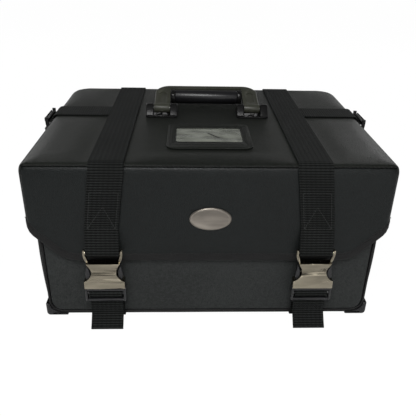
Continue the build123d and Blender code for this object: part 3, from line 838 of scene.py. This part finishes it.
def lid_wall(name, start, end, shares, held, finish, node, slack=0.0):
    """Padded leather up the lid's wall and over its rolled edge to the top's seam."""
    top = seam_height() + SEAM_OVERLAP

    def place(way, share):
        low = edge_height(way)
        height = low + (top - low) * share
        seam = min(way - start, end - way, top - height)
        sag = slack * math.exp(-(((top - height) / 0.016) ** 2))
        return lid_skin(way, height, dip(seam) - sag)

    sizes = bpy.context.scene.case_sizes
    sheet = surface(name, steps(start, end, sizes.grid), shares, place)
    padded_cover(sheet, sizes.leather, held, "lid", finish, None, (node,))


class CASE_OT_flap_cover(bpy.types.Operator):
    """Padded leather over the lid's front flap, rolled over its top edge and round its corners"""

    bl_idname = "case.flap_cover"
    bl_label = "Flap cover"

    def execute(self, context):
        sizes = context.scene.case_sizes
        end = seam_way() + SEAM_OVERLAP

        def held(point):
            if point.z > lid_high.z - sizes.roll or abs(point.x) > lid_plan.half - 0.009:
                return 1.0
            if point.y > flap_low.y + sizes.leather * 0.6:
                return 1.0
            edge = near_line(point.z - edge_height(point.x), 0.006, 0.01)
            straps = near_line(abs(abs(point.x) - strap_x(point.z)), sizes.strap_width / 2, 0.014)
            badge = near_line(math.hypot(point.x / 0.026, (point.z - 0.141) / 0.017) - 1, 0.0, 0.5)
            return max(edge, straps, badge)

        shares = steps(0.0, 1.0, 0.04, (0.008, 0.02, 0.04))
        lid_wall("flap_cover", -end, end, shares, held, "front_leather", "lid_front_flap", 0.0022)
        line = seam_height() + SEAM_OVERLAP - 0.0016
        spots = []
        for way in even(-end + 0.003, end - 0.003, SEAM_PITCH):
            here = lid_skin(way, line, 0.0002)
            ahead = lid_skin(way + 0.0005, line, 0.0002)
            _, _, nx, ny = lid_plan.walk(way)
            spots.append((here, ahead - here, Vector((nx, ny, 1.0))))
        stitches("flap_seam_stitches", spots, "lid", "seam_thread", SEAM_STITCH, SEAM_GIRTH)
        return {"FINISHED"}


class CASE_OT_band_cover(bpy.types.Operator):
    """Padded leather band round the lid's sides and back"""

    bl_idname = "case.band_cover"
    bl_label = "Band cover"

    def execute(self, context):
        sizes = context.scene.case_sizes
        start = seam_way()
        end = 2 * lid_plan.half_length - start

        def held(point):
            if point.z > lid_high.z - sizes.roll or point.z < band_low.z + 0.008:
                return 1.0
            if point.y < flap_low.y + 0.012 or (point.y > 0.12 and point.z < 0.162):
                return 1.0
            if lid_plan.depth(point.x, point.y) > sizes.leather * 0.6:
                return 1.0
            straps = near_line(abs(point.y - SIDE_STRAP_Y), sizes.strap_width / 2 + 0.006, 0.014)
            back = 0.0
            if point.y > 0.12:
                back = near_line(abs(abs(point.x) - TOP_STRAP_X), sizes.strap_width / 2, 0.014)
            return max(straps, back)

        shares = steps(0.0, 1.0, 0.08, (0.012, 0.03, 0.06))
        lid_wall("band_cover", start, end, shares, held, "side_leather", "lid_side_band")
        return {"FINISHED"}


class CASE_OT_lid_edging(bpy.types.Operator):
    """Binding tape folded round the lid's lower edges, with its line of stitches"""

    bl_idname = "case.lid_edging"
    bl_label = "Lid edging"

    def execute(self, context):
        sizes = context.scene.case_sizes
        end = seam_way()
        swell = 0.0007

        def place(way, down):
            """A point of the tape, square to the edge that it is folded over."""
            rise = (edge_height(way + 0.004) - edge_height(way - 0.004)) / 0.008
            length = math.hypot(1.0, rise)
            deep = abs(down / BINDING_WIDTH - 0.5) * 2
            lift = swell * (1 - deep**4)
            return lid_skin(way + rise / length * down, edge_height(way) - down / length, lift)

        flap_thick = flap_high.y - flap_low.y
        band_thick = lid_plan.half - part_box("lid_lining")[1].x - 0.0006
        round_back = 2 * lid_plan.half_length - end
        spans = (
            ("flap", -end, end, flap_thick, "flap_binding"),
            ("band", end, round_back, band_thick, "lid_edge_binding"),
        )
        across = even(-0.0008, BINDING_WIDTH, 0.0014)
        for part, start, stop, thick, node in spans:
            tape_piece = surface(f"{part}_edging", even(start, stop, 0.004), across, place)
            modify(tape_piece, "SOLIDIFY", thickness=thick + swell, offset=1.0)
            edit(tape_piece, outward)
            modify(
                tape_piece, "BEVEL", width=0.0009, segments=3, limit_method="ANGLE", angle_limit=1.0
            )
            smooth(tape_piece, 50)
            settle(tape_piece, "lid", "binding", "binding", (node,))
            spots = []
            for way in even(start + 0.004, stop - 0.004, sizes.stitch_pitch):
                here = place(way, 0.0012)
                ahead = place(way + 0.0005, 0.0012)
                out = Vector((*lid_plan.walk(way)[2:], 0))
                spots.append((here + out * 0.0003, ahead - here, out))
            stitches(f"{part}_edging_stitches", spots, "lid", "seam_thread")
        return {"FINISHED"}


class CASE_OT_base_covers(bpy.types.Operator):
    """Padded leather over the base's front, sides and back, its piping and its bottom"""

    bl_idname = "case.base_covers"
    bl_label = "Base covers"

    def execute(self, context):
        sizes = context.scene.case_sizes
        self.front_panel(sizes)
        self.side_cover(sizes)
        from_node("panel_piping", "front_panel_piping", "base", "binding", edge=0.0002, segments=1)
        soft_from_node("bottom_cover", "base_bottom_cover", "base", "bottom_cover", 0.04, 0.0002)
        from_node("rim_binding", "base_rim_binding", "base", "binding", edge=0.0007, segments=3)
        return {"FINISHED"}

    def front_panel(self, sizes):
        roll = 0.0036

        def place(u, z):
            x = u * panel_plan.half_width(z)
            short = max(0.0, roll - panel_plan.depth(x, z))
            back = roll - math.sqrt(max(0.0, roll**2 - short**2))
            return Vector((x, panel_low.y + back, z))

        def held(point):
            if point.y > panel_low.y + 0.0012 or point.z > 0.12:
                return 1.0
            edge = near_line(panel_plan.depth(point.x, point.z), 0.003, 0.01)
            straps = near_line(abs(abs(point.x) - BUCKLE_X), sizes.strap_width / 2, 0.014)
            return max(edge, straps)

        half = panel_plan.half
        columns = [column / half for column in steps(-half, half, sizes.grid)]
        sheet = surface("front_panel", columns, steps(panel_low.z, panel_high.z, sizes.grid), place)
        padded_cover(sheet, 0.002, held, "base", "base_leather", "front_leather", ("base_front_panel",))

    def side_cover(self, sizes):
        plan = Plan(wall_high.x, wall_low.y, wall_high.y, 0.001, BASE_BACK_RADIUS)
        start = plan.runs[0] + plan.runs[1] + 0.0002
        end = 2 * plan.half_length - start

        def swell(z):
            share = (z - cover_low.z) / (cover_high.z - cover_low.z)
            foot_to_head = COVER_FOOT + (COVER_HEAD - COVER_FOOT) * share
            return foot_to_head + (COVER_BULGE - 0.0073) * 4 * share * (1 - share)

        def place(way, z):
            x, y, nx, ny = plan.walk(way)
            ends = min(way - start, end - way, z - cover_low.z, cover_high.z - z)
            short = 1 - min(1.0, max(0.0, ends / 0.004))
            tuck = 0.0035 * (1 - math.sqrt(max(0.0, 1 - short**2)))
            out = swell(z) - tuck
            return Vector((x + nx * out, y + ny * out, z))

        def held(point):
            if abs(point.x) > plan.half:
                edge = near_line(abs(point.y - SIDE_STRAP_Y), sizes.strap_width / 2, 0.012)
            else:
                edge = near_line(abs(abs(point.x) - BUCKLE_X), sizes.strap_width / 2, 0.012)
            if point.z > 0.09 or point.z < 0.02 or point.y < plan.front + 0.01:
                return 1.0
            if -plan.depth(point.x, point.y) < 0.004:
                return 1.0
            return edge

        rows = steps(cover_low.z, cover_high.z, sizes.grid)
        sheet = surface("side_cover", even(start, end, sizes.grid), rows, place)
        padded_cover(sheet, 0.0035, held, "base", "side_leather", None, ("base_side_cover",), 0.0012)


class CASE_OT_inside(bpy.types.Operator):
    """Cloth linings, and the boards and fixings that hold the case"""

    bl_idname = "case.inside"
    bl_label = "Inside"

    def execute(self, context):
        soft_from_node("base_cloth", "base_lining", "base", "lining_cloth", 0.03, 0.0003)
        soft_from_node("lid_cloth", "lid_lining", "lid", "lining_cloth", 0.03, 0.0003)
        for node in ("base_wall_board", "base_front_board"):
            paint(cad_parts[node], "lining_cloth")
        for node in ("base_bottom_board", "lid_top_board"):
            paint(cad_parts[node], "board")
        for node in ("handle_pins", "handle_screws", "handle_backing_plate"):
            paint(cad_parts[node], "steel")
        from_node("corner_feet", "corner_protectors", "base", "protector_plastic", edge=0.0006)
        return {"FINISHED"}


# Straps


def rounded(corners, radii, pitch):
    """Points about a pitch apart along a line of corners, each rounded to its radius."""
    corners = [Vector(corner) for corner in corners]
    points = [corners[0]]
    for index, radius in enumerate(radii, start=1):
        before, corner, after = corners[index - 1 : index + 2]
        come = (corner - before).normalized()
        leave = (after - corner).normalized()
        turn = come.angle(leave)
        if turn < 0.02:
            points.append(corner)
            continue
        reach = radius * math.tan(turn / 2)
        inward = (leave - come * math.cos(turn)) / math.sin(turn)
        start = corner - come * reach
        centre = start + inward * radius
        count = max(2, math.ceil(turn / 0.35))
        for step in range(count + 1):
            angle = turn * step / count
            points.append(centre + (come * math.sin(angle) - inward * math.cos(angle)) * radius)
    points.append(corners[-1])
    spaced = [points[0]]
    for point in points[1:]:
        gap = point - spaced[-1]
        count = max(1, round(gap.length / pitch))
        start = spaced[-1].copy()
        if gap.length > 0.00005:
            spaced += [start + gap * step / count for step in range(1, count + 1)]
    return spaced


def strap_rest():
    """How far the middle of webbing lies off what it rests on."""
    return STRAP_GAP + bpy.context.scene.case_sizes.strap_thickness / 2


def strap(name, points, across, body, nodes, finish="webbing", width=None, thickness=None):
    """Webbing laid along a line of points, as wide as it is woven."""
    sizes = bpy.context.scene.case_sizes
    half = (width or sizes.strap_width) / 2
    thickness = thickness or sizes.strap_thickness
    ways = [0.0]
    for before, after in zip(points, points[1:]):
        ways.append(ways[-1] + (after - before).length)
    at = dict(zip(ways, points))
    columns = steps(-half, half, 0.0055, (0.0007, 0.002))
    piece = surface(name, columns, ways, lambda u, way: at[way] + Vector(across) * u)
    modify(piece, "SOLIDIFY", thickness=thickness, offset=0.0)
    edit(piece, outward)
    modify(piece, "BEVEL", width=thickness * 0.3, segments=2, limit_method="ANGLE", angle_limit=1.2)
    smooth(piece, 45)
    return settle(piece, body, finish, None, nodes)


def stitches(name, spots, body, finish="thread", length=None, girth=0.0008):
    """Short round stitches, each at a place, lying along a direction, on a face's normal."""
    sizes = bpy.context.scene.case_sizes
    length = length or sizes.stitch
    deselect()
    bpy.ops.mesh.primitive_uv_sphere_add(segments=8, ring_count=5, radius=0.5)
    piece = bpy.context.object
    piece.name = name
    seed = [vertex.co.copy() for vertex in piece.data.vertices]
    faces = [tuple(face.vertices) for face in piece.data.polygons]
    corners = []
    sides = []
    for place, along, normal in spots:
        along = along.normalized()
        normal = (normal - along * normal.dot(along)).normalized()
        beside = normal.cross(along)
        turn = Matrix((along, beside, normal)).transposed()
        first = len(corners)
        for point in seed:
            bent = Vector((point.x * length, point.y * girth, point.z * girth * 0.8))
            corners.append(place + turn @ bent)
        sides += [tuple(first + corner for corner in face) for face in faces]
    piece.data.clear_geometry()
    piece.data.from_pydata(corners, [], sides)
    smooth(piece)
    return settle(piece, body, finish, "webbing")


class CASE_OT_top_straps(bpy.types.Operator):
    """Wide straps over the lid, sewn to the flap and looped round the front buckles' bars"""

    bl_idname = "case.top_straps"
    bl_label = "Top straps"

    def execute(self, context):
        sizes = context.scene.case_sizes
        rest = strap_rest()
        front = lid_plan.front
        top = lid_high.z + rest
        back = lid_high.y + rest
        turn = BAR_RADIUS + rest
        bar_y = front - BAR_STAND_OFF
        outer = front - rest - sizes.strap_thickness
        line = [
            (back, 0.153),
            (back, top),
            (front - rest, top),
            (front - rest, 0.190),
            (outer, 0.176),
            (outer, STITCH_FOOT - 0.002),
            (bar_y - turn, FRONT_BAR_HEIGHT + 0.001),
            (bar_y - turn, FRONT_BAR_HEIGHT - turn),
            (bar_y + turn, FRONT_BAR_HEIGHT - turn),
            (bar_y + turn, FRONT_BAR_HEIGHT + 0.001),
            (front - rest, STITCH_FOOT - 0.002),
            (front - rest, STITCH_HEAD + 0.006),
        ]
        roll = sizes.roll + rest
        bend = 0.006
        radii = [roll, roll, bend, bend, bend, bend, turn * 0.96, turn * 0.96, bend, bend]
        for name, side in SIDES:
            points = rounded([(0.0, y, z) for y, z in line], radii, 0.004)
            for point in points:
                on_front = point.y < front + 0.002
                point.x = side * (strap_x(point.z) if on_front else TOP_STRAP_X)
            strap(f"{name}_wide_strap", points, (1, 0, 0), "lid", (f"{name}_top_strap",))
            self.box_stitch(name, side, outer - sizes.strap_thickness / 2 - 0.0001)
        return {"FINISHED"}

    def box_stitch(self, name, side, y):
        """A sewn box with a roof-shaped line in it, where the strap is doubled."""
        sizes = bpy.context.scene.case_sizes
        reach = sizes.strap_width / 2 - 0.0035
        low = STITCH_FOOT - 0.0015
        high = STITCH_HEAD + 0.005
        peak = STITCH_HEAD - 0.012

        def at(u, z):
            return Vector((side * strap_x(z) + u * reach, y, z))

        lines = [
            (at(-1, low), at(1, low)),
            (at(1, low), at(1, high)),
            (at(1, high), at(-1, high)),
            (at(-1, high), at(-1, low)),
            (at(-1, low), at(0, peak)),
            (at(0, peak), at(1, low)),
        ]
        spots = []
        for start, stop in lines:
            count = round((stop - start).length / BOX_PITCH)
            for step in range(count):
                place = start.lerp(stop, (step + 0.5) / count)
                spots.append((place, stop - start, FRONT_FACE))
        stitches(f"{name}_box_stitches", spots, "lid", girth=0.0009)


class CASE_OT_side_straps(bpy.types.Operator):
    """Straps from under the wide ones over the lid's ends to the side buckles"""

    bl_idname = "case.side_straps"
    bl_label = "Side straps"

    def execute(self, context):
        sizes = context.scene.case_sizes
        rest = strap_rest()
        turn = BAR_RADIUS + rest
        edge = lid_high.x + rest
        top = lid_high.z + rest
        low = SIDE_BAR_HEIGHT - turn
        start = TOP_STRAP_X + sizes.strap_width / 2 + 0.0002
        for name, side in SIDES:
            line = [
                (start, top),
                (edge, top),
                (edge, low),
                (SIDE_BAR_X + turn, low),
                (SIDE_BAR_X + turn, SIDE_BAR_HEIGHT + BAR_RADIUS),
            ]
            points = [(side * x, SIDE_STRAP_Y, z) for x, z in line]
            points = rounded(points, [0.0066, 0.0016, 0.0016], 0.004)
            strap(f"{name}_end_strap", points, (0, -side, 0), "lid", (f"{name}_side_strap",))
        return {"FINISHED"}


def ladder_line(sizes):
    """The lower webbing's way round the ladder bar, from the bar, out and up."""
    rest = strap_rest()
    turn = LADDER_BAR_RADIUS + rest
    tail = TONGUE_SLIM + 0.0002 + rest
    anchored = tail + sizes.strap_thickness + 0.00025
    foot = -TONGUE_DROP
    line = [
        (anchored, foot - 0.0025),
        (anchored, foot + 0.004),
        (turn, -LADDER_DROP - 0.0005),
        (turn, -LADDER_DROP + turn),
        (-turn, -LADDER_DROP + turn),
        (-turn, -LADDER_DROP - 0.002),
        (tail, foot + 0.0027),
        (tail, foot - 0.003),
    ]
    bend = sizes.strap_thickness * 0.8
    return line, [bend, bend, turn * 0.97, turn * 0.97, bend, bend]


class CASE_OT_lower_straps(bpy.types.Operator):
    """Straps from under the base up to the buckles' ladder bars, with their loose tails"""

    bl_idname = "case.lower_straps"
    bl_label = "Lower straps"

    def execute(self, context):
        sizes = context.scene.case_sizes
        rest = strap_rest()
        ladder, bends = ladder_line(sizes)
        bar_y = lid_plan.front - BAR_STAND_OFF
        back_foot = wall_high.y + COVER_FOOT + rest + 0.0014
        back_head = wall_high.y + COVER_BULGE + rest + 0.0002
        under = floor_low.z - rest
        up = panel_low.y - rest
        floor = cover_low.z
        front_run = [
            (back_head, cover_high.z - 0.026),
            (back_head, floor + 0.06),
            (back_foot, floor + 0.003),
            (back_foot - 0.003, under),
            (up + 0.002, under),
            (up, floor),
            (up, FRONT_BAR_HEIGHT - TONGUE_DROP - 0.008),
        ]
        toe = [
            (lid_plan.front - FRONT_TAIL_REACH * 0.35, floor + 0.011),
            (lid_plan.front - FRONT_TAIL_REACH * 0.8, floor + 0.0005),
            (lid_plan.front - FRONT_TAIL_REACH, sizes.strap_thickness),
        ]
        line = front_run + [(bar_y + y, FRONT_BAR_HEIGHT + z) for y, z in ladder] + toe
        radii = [0.002] * len(front_run) + bends + [0.002] * len(toe)
        for name, side in SIDES:
            points = rounded([(side * BUCKLE_X, y, z) for y, z in line], radii, 0.005)
            strap(f"{name}_front_tail", points, (1, 0, 0), "base", (f"front_{name}_lower_strap",))
        foot_x = wall_high.x + COVER_FOOT + rest + 0.0012
        bulge_x = wall_high.x + COVER_BULGE + rest
        tail_top = SIDE_BAR_HEIGHT - TONGUE_DROP
        side_run = [(foot_x, floor + 0.002), (bulge_x, floor + 0.054), (bulge_x, tail_top - 0.012)]
        tail = [
            (bulge_x + 2 * sizes.strap_thickness, tail_top - 0.014),
            (bulge_x + 3 * sizes.strap_thickness, tail_top - 0.046),
        ]
        line = side_run + [(SIDE_BAR_X - y, SIDE_BAR_HEIGHT + z) for y, z in ladder] + tail
        radii = [0.002] * len(side_run) + bends + [0.002] * len(tail)
        for name, side in SIDES:
            points = rounded([(side * x, SIDE_STRAP_Y, z) for x, z in line], radii, 0.005)
            strap(f"{name}_side_tail", points, (0, side, 0), "base", (f"side_{name}_lower_strap",))
        return {"FINISHED"}


class CASE_OT_hinge(bpy.types.Operator):
    """Leather hinge strip between the base and the lid"""

    bl_idname = "case.hinge"
    bl_label = "Hinge strip"

    def execute(self, context):
        low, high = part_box("hinge_strip")
        lid_y = high.y - HINGE_THICKNESS / 2
        base_y = low.y + HINGE_THICKNESS / 2
        line = [
            (0, base_y, low.z),
            (0, base_y, low.z + 0.011),
            (0, lid_y, band_low.z - 0.0105),
            (0, lid_y, high.z),
        ]
        points = rounded(line, [0.004, 0.004], 0.0015)
        width = high.x * 2
        nodes = ("hinge_strip",)
        piece = strap("hinge_leather", points, (1, 0, 0), None, nodes, "binding", width, HINGE_THICKNESS)
        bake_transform(piece)
        across = even(-high.x + 0.004, high.x - 0.004, HINGE_PITCH)
        for body, y, z in (("lid", lid_y, high.z - 0.003), ("base", base_y, low.z + 0.003)):
            out = y + HINGE_THICKNESS / 2 + 0.0001
            spots = [(Vector((x, out, z)), Vector((1, 0, 0)), -FRONT_FACE) for x in across]
            stitches(f"hinge_{body}_stitches", spots, body, "seam_thread")
        return {"FINISHED"}


# Window, badge, buckles and handle


class CASE_OT_window(bpy.types.Operator):
    """Card window on the lid: a sewn leather frame over soft clear film"""

    bl_idname = "case.window"
    bl_label = "Card window"

    def execute(self, context):
        from_node("window_surround", "window_frame", "lid", "top_leather", None, 0.0007, 3)
        low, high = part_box("window_film")

        def place(u, v):
            edge = min(u - low.x, high.x - u, v - low.y, high.y - v)
            ripple = noise.noise(Vector((u * 34, v * 55, 0.3))) * 0.5 + 0.5
            crease = abs(noise.noise(Vector((u * 20 + v * 22, v * 14, 1.7))))
            rise = 0.0011 * ripple + 0.0009 * (1 - min(1.0, crease * 5))
            return Vector((u, v, lid_high.z + 0.0003 + rise * min(1.0, edge / 0.006)))

        film = surface("window_sheet", even(low.x, high.x, 0.0016), even(low.y, high.y, 0.0016), place)
        modify(film, "SOLIDIFY", thickness=0.0003, offset=1.0)
        smooth(film, 60)
        settle(film, "lid", "film", "film", ("window_film",))
        outer_low, outer_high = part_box("window_frame")
        spots = []
        corner = 0.006
        rings = [
            (outer_low.x + 0.003, outer_high.x - 0.003, outer_low.y + 0.003, outer_high.y - 0.003),
            (low.x - 0.0028, high.x + 0.0028, low.y - 0.0028, high.y + 0.0028),
            (outer_low.x + 0.006, outer_high.x - 0.006, outer_low.y + 0.012, outer_high.y - 0.010),
        ]
        for left, right, near, far in rings:
            runs = [
                (Vector((left + corner, near, 0)), Vector((right - corner, near, 0))),
                (Vector((right, near + corner, 0)), Vector((right, far - corner, 0))),
                (Vector((right - corner, far, 0)), Vector((left + corner, far, 0))),
                (Vector((left, far - corner, 0)), Vector((left, near + corner, 0))),
            ]
            for start, stop in runs:
                count = round((stop - start).length / 0.003)
                for step in range(count + 1):
                    place_at = start.lerp(stop, step / count)
                    place_at.z = outer_high.z + 0.0001
                    spots.append((place_at, stop - start, UP))
        stitches("window_stitches", spots, "lid", "seam_thread", 0.0021, 0.0006)
        return {"FINISHED"}


class CASE_OT_hardware(bpy.types.Operator):
    """Buckles, badge and folding handle, with rounded edges and their plastic and plating"""

    bl_idname = "case.hardware"
    bl_label = "Buckles, badge and handle"

    def execute(self, context):
        for row in ("front", "side"):
            for name, _ in SIDES:
                start = f"{row}_{name}"
                socket = f"{start}_socket"
                finish = "plating" if row == "front" else "foot_plastic"
                from_node(f"{start}_plate", socket, socket, finish, "buckle_plastic")
                from_node(f"{start}_ladder", f"{start}_tongue", "base", "buckle_plastic")
                for arm in ("arm_a", "arm_b"):
                    node = f"{start}_{arm}"
                    from_node(f"{node}_spring", node, node, "buckle_plastic")
        badge = from_node("badge_face", "badge_plate", "lid", "badge", edge=0.0004)
        pick(badge, lambda face: face.normal.y < -0.99 and face.area > 0.0001)
        bpy.ops.mesh.inset(thickness=0.0016)
        bpy.ops.mesh.inset(thickness=0.0005, depth=-0.0005)
        smooth(badge, 40)
        from_node("handle_plate", "handle_frame", "handle", "handle_plastic", edge=0.0006, segments=3)
        from_node("grip", "handle_grip", "handle", "grip_plastic", edge=0.0008, segments=3)
        plastics = ("foot_plastic", "handle_plastic")
        from_node("grip_collars", "handle_collars", "handle", *plastics, edge=0.0006)
        for name, _ in SIDES:
            from_node(f"{name}_foot", f"{name}_handle_foot", "lid", *plastics, edge=0.0006)
        return {"FINISHED"}


# Camera, lights and floor


class CASE_OT_stage(bpy.types.Operator):
    """Pale floor, soft studio lamps and the camera at the photograph's angle"""

    bl_idname = "case.stage"
    bl_label = "Camera, lamps and floor"

    def execute(self, context):
        self.camera(context.scene)
        self.lamp("top_lamp", (-0.10, -0.95, 1.25), (0.0, -0.1, 0.2), 0.5, 16.0)
        self.lamp("front_lamp", (0.55, -1.5, 0.45), (0.0, -0.1, 0.06), 0.9, 3.0)
        self.lamp("left_back_lamp", (-1.2, 1.5, 0.95), (-0.1, 0.0, 0.2), 0.8, 5.0)
        self.lamp("right_back_lamp", (1.2, 1.5, 0.95), (0.1, 0.0, 0.2), 0.8, 5.0)
        self.world(context.scene)
        deselect()
        bpy.ops.mesh.primitive_plane_add(size=9.0, location=(0, 0, 0))
        floor = context.object
        floor.name = "floor"
        shader = Shader("pale floor")
        place = shader.place()
        soft = shader.cloud(place, 3.0, 2.0)
        tone = shader.blend(soft, (0.86, 0.86, 0.86, 1), (0.9, 0.9, 0.9, 1))
        camera_ray = shader.node("ShaderNodeLightPath")["Is Camera Ray"]
        lit = shader.node("ShaderNodeBsdfDiffuse", None, {"Color": tone})["BSDF"]
        bright = {"Color": WHITE, "Strength": 1.015}
        glow = shader.node("ShaderNodeEmission", None, bright)["Emission"]
        inputs = {0: camera_ray * 0.97, 1: lit, 2: glow}
        mixed = shader.node("ShaderNodeMixShader", None, inputs)["Shader"]
        shader.node("ShaderNodeOutputMaterial", None, {"Surface": mixed})
        floor.data.materials.append(shader.owner)
        context.scene.view_settings.view_transform = "Standard"
        return {"FINISHED"}

    def camera(self, scene):
        pitch = math.radians(27.56)
        yaw = math.radians(2.38)
        roll = math.radians(1.24)
        level = math.cos(pitch)
        ahead = Vector((math.sin(yaw) * level, math.cos(yaw) * level, -math.sin(pitch)))
        right = Vector((math.cos(yaw), -math.sin(yaw), 0))
        above = right.cross(ahead)
        tilted_right = right * math.cos(roll) + above * math.sin(roll)
        tilted_up = above * math.cos(roll) - right * math.sin(roll)
        lens = bpy.data.cameras.new("camera")
        lens.lens = 44.49
        lens.sensor_width = 36.0
        camera = bpy.data.objects.new("camera", lens)
        axes = Matrix((tilted_right, tilted_up, -ahead)).transposed().to_4x4()
        camera.matrix_world = Matrix.Translation((-0.02386, -0.65026, 0.41576)) @ axes
        scene.collection.objects.link(camera)
        scene.camera = camera

    def lamp(self, name, place, target, size, power):
        lamp = bpy.data.lights.new(name, "AREA")
        lamp.shape = "SQUARE"
        lamp.size = size
        lamp.energy = power
        holder = bpy.data.objects.new(name, lamp)
        holder.location = place
        aim = Vector(target) - Vector(place)
        holder.rotation_euler = aim.to_track_quat("-Z", "Y").to_euler()
        bpy.context.scene.collection.objects.link(holder)

    def world(self, scene):
        """White to the camera, a graded studio in reflections and a low even light elsewhere."""
        scene.world = bpy.data.worlds.new("studio")
        shader = Shader("studio", scene.world)
        path = shader.node("ShaderNodeLightPath")
        seen = path["Is Camera Ray"]
        mirrored = path["Is Glossy Ray"].most(path["Is Transmission Ray"])
        _, _, height = shader.split(shader.node("ShaderNodeTexCoord")["Generated"])
        studio = 0.8 - height.part(0.05, 0.35) * 0.65
        light = mirrored * studio + (1 - mirrored) * 0.25
        strength = seen.most(light)
        background = shader.node("ShaderNodeBackground", None, {"Color": WHITE, "Strength": strength})
        shader.node("ShaderNodeOutputWorld", None, {"Surface": background["Background"]})


class CASE_PT_pieces(bpy.types.Panel):
    """Lists the steps that build the case"""

    bl_label = "Cosmetic case"
    bl_idname = "CASE_PT_pieces"
    bl_space_type = "VIEW_3D"
    bl_region_type = "UI"
    bl_category = "Case"

    def draw(self, context):
        for group in (context.scene.case_sizes, context.scene.case_colours):
            box = self.layout.box()
            for key in group.__annotations__:
                box.prop(group, key)
        for operator in OPERATORS:
            self.layout.operator(operator.bl_idname)


OPERATORS = (
    CASE_OT_stage,
    CASE_OT_top_cover,
    CASE_OT_flap_cover,
    CASE_OT_band_cover,
    CASE_OT_lid_edging,
    CASE_OT_base_covers,
    CASE_OT_inside,
    CASE_OT_top_straps,
    CASE_OT_side_straps,
    CASE_OT_lower_straps,
    CASE_OT_hinge,
    CASE_OT_window,
    CASE_OT_hardware,
)


def register():
    for group in (CaseSizes, CaseColours, *OPERATORS, CASE_PT_pieces):
        bpy.utils.register_class(group)
    bpy.types.Scene.case_sizes = bpy.props.PointerProperty(type=CaseSizes)
    bpy.types.Scene.case_colours = bpy.props.PointerProperty(type=CaseColours)


def unregister():
    del bpy.types.Scene.case_colours
    del bpy.types.Scene.case_sizes
    for group in reversed((CaseSizes, CaseColours, *OPERATORS, CASE_PT_pieces)):
        bpy.utils.unregister_class(group)


def main():
    register()
    make_materials()
    for operator in OPERATORS:
        group, name = operator.bl_idname.split(".")
        getattr(getattr(bpy.ops, group), name)()


if __name__ == "__main__":
    main()
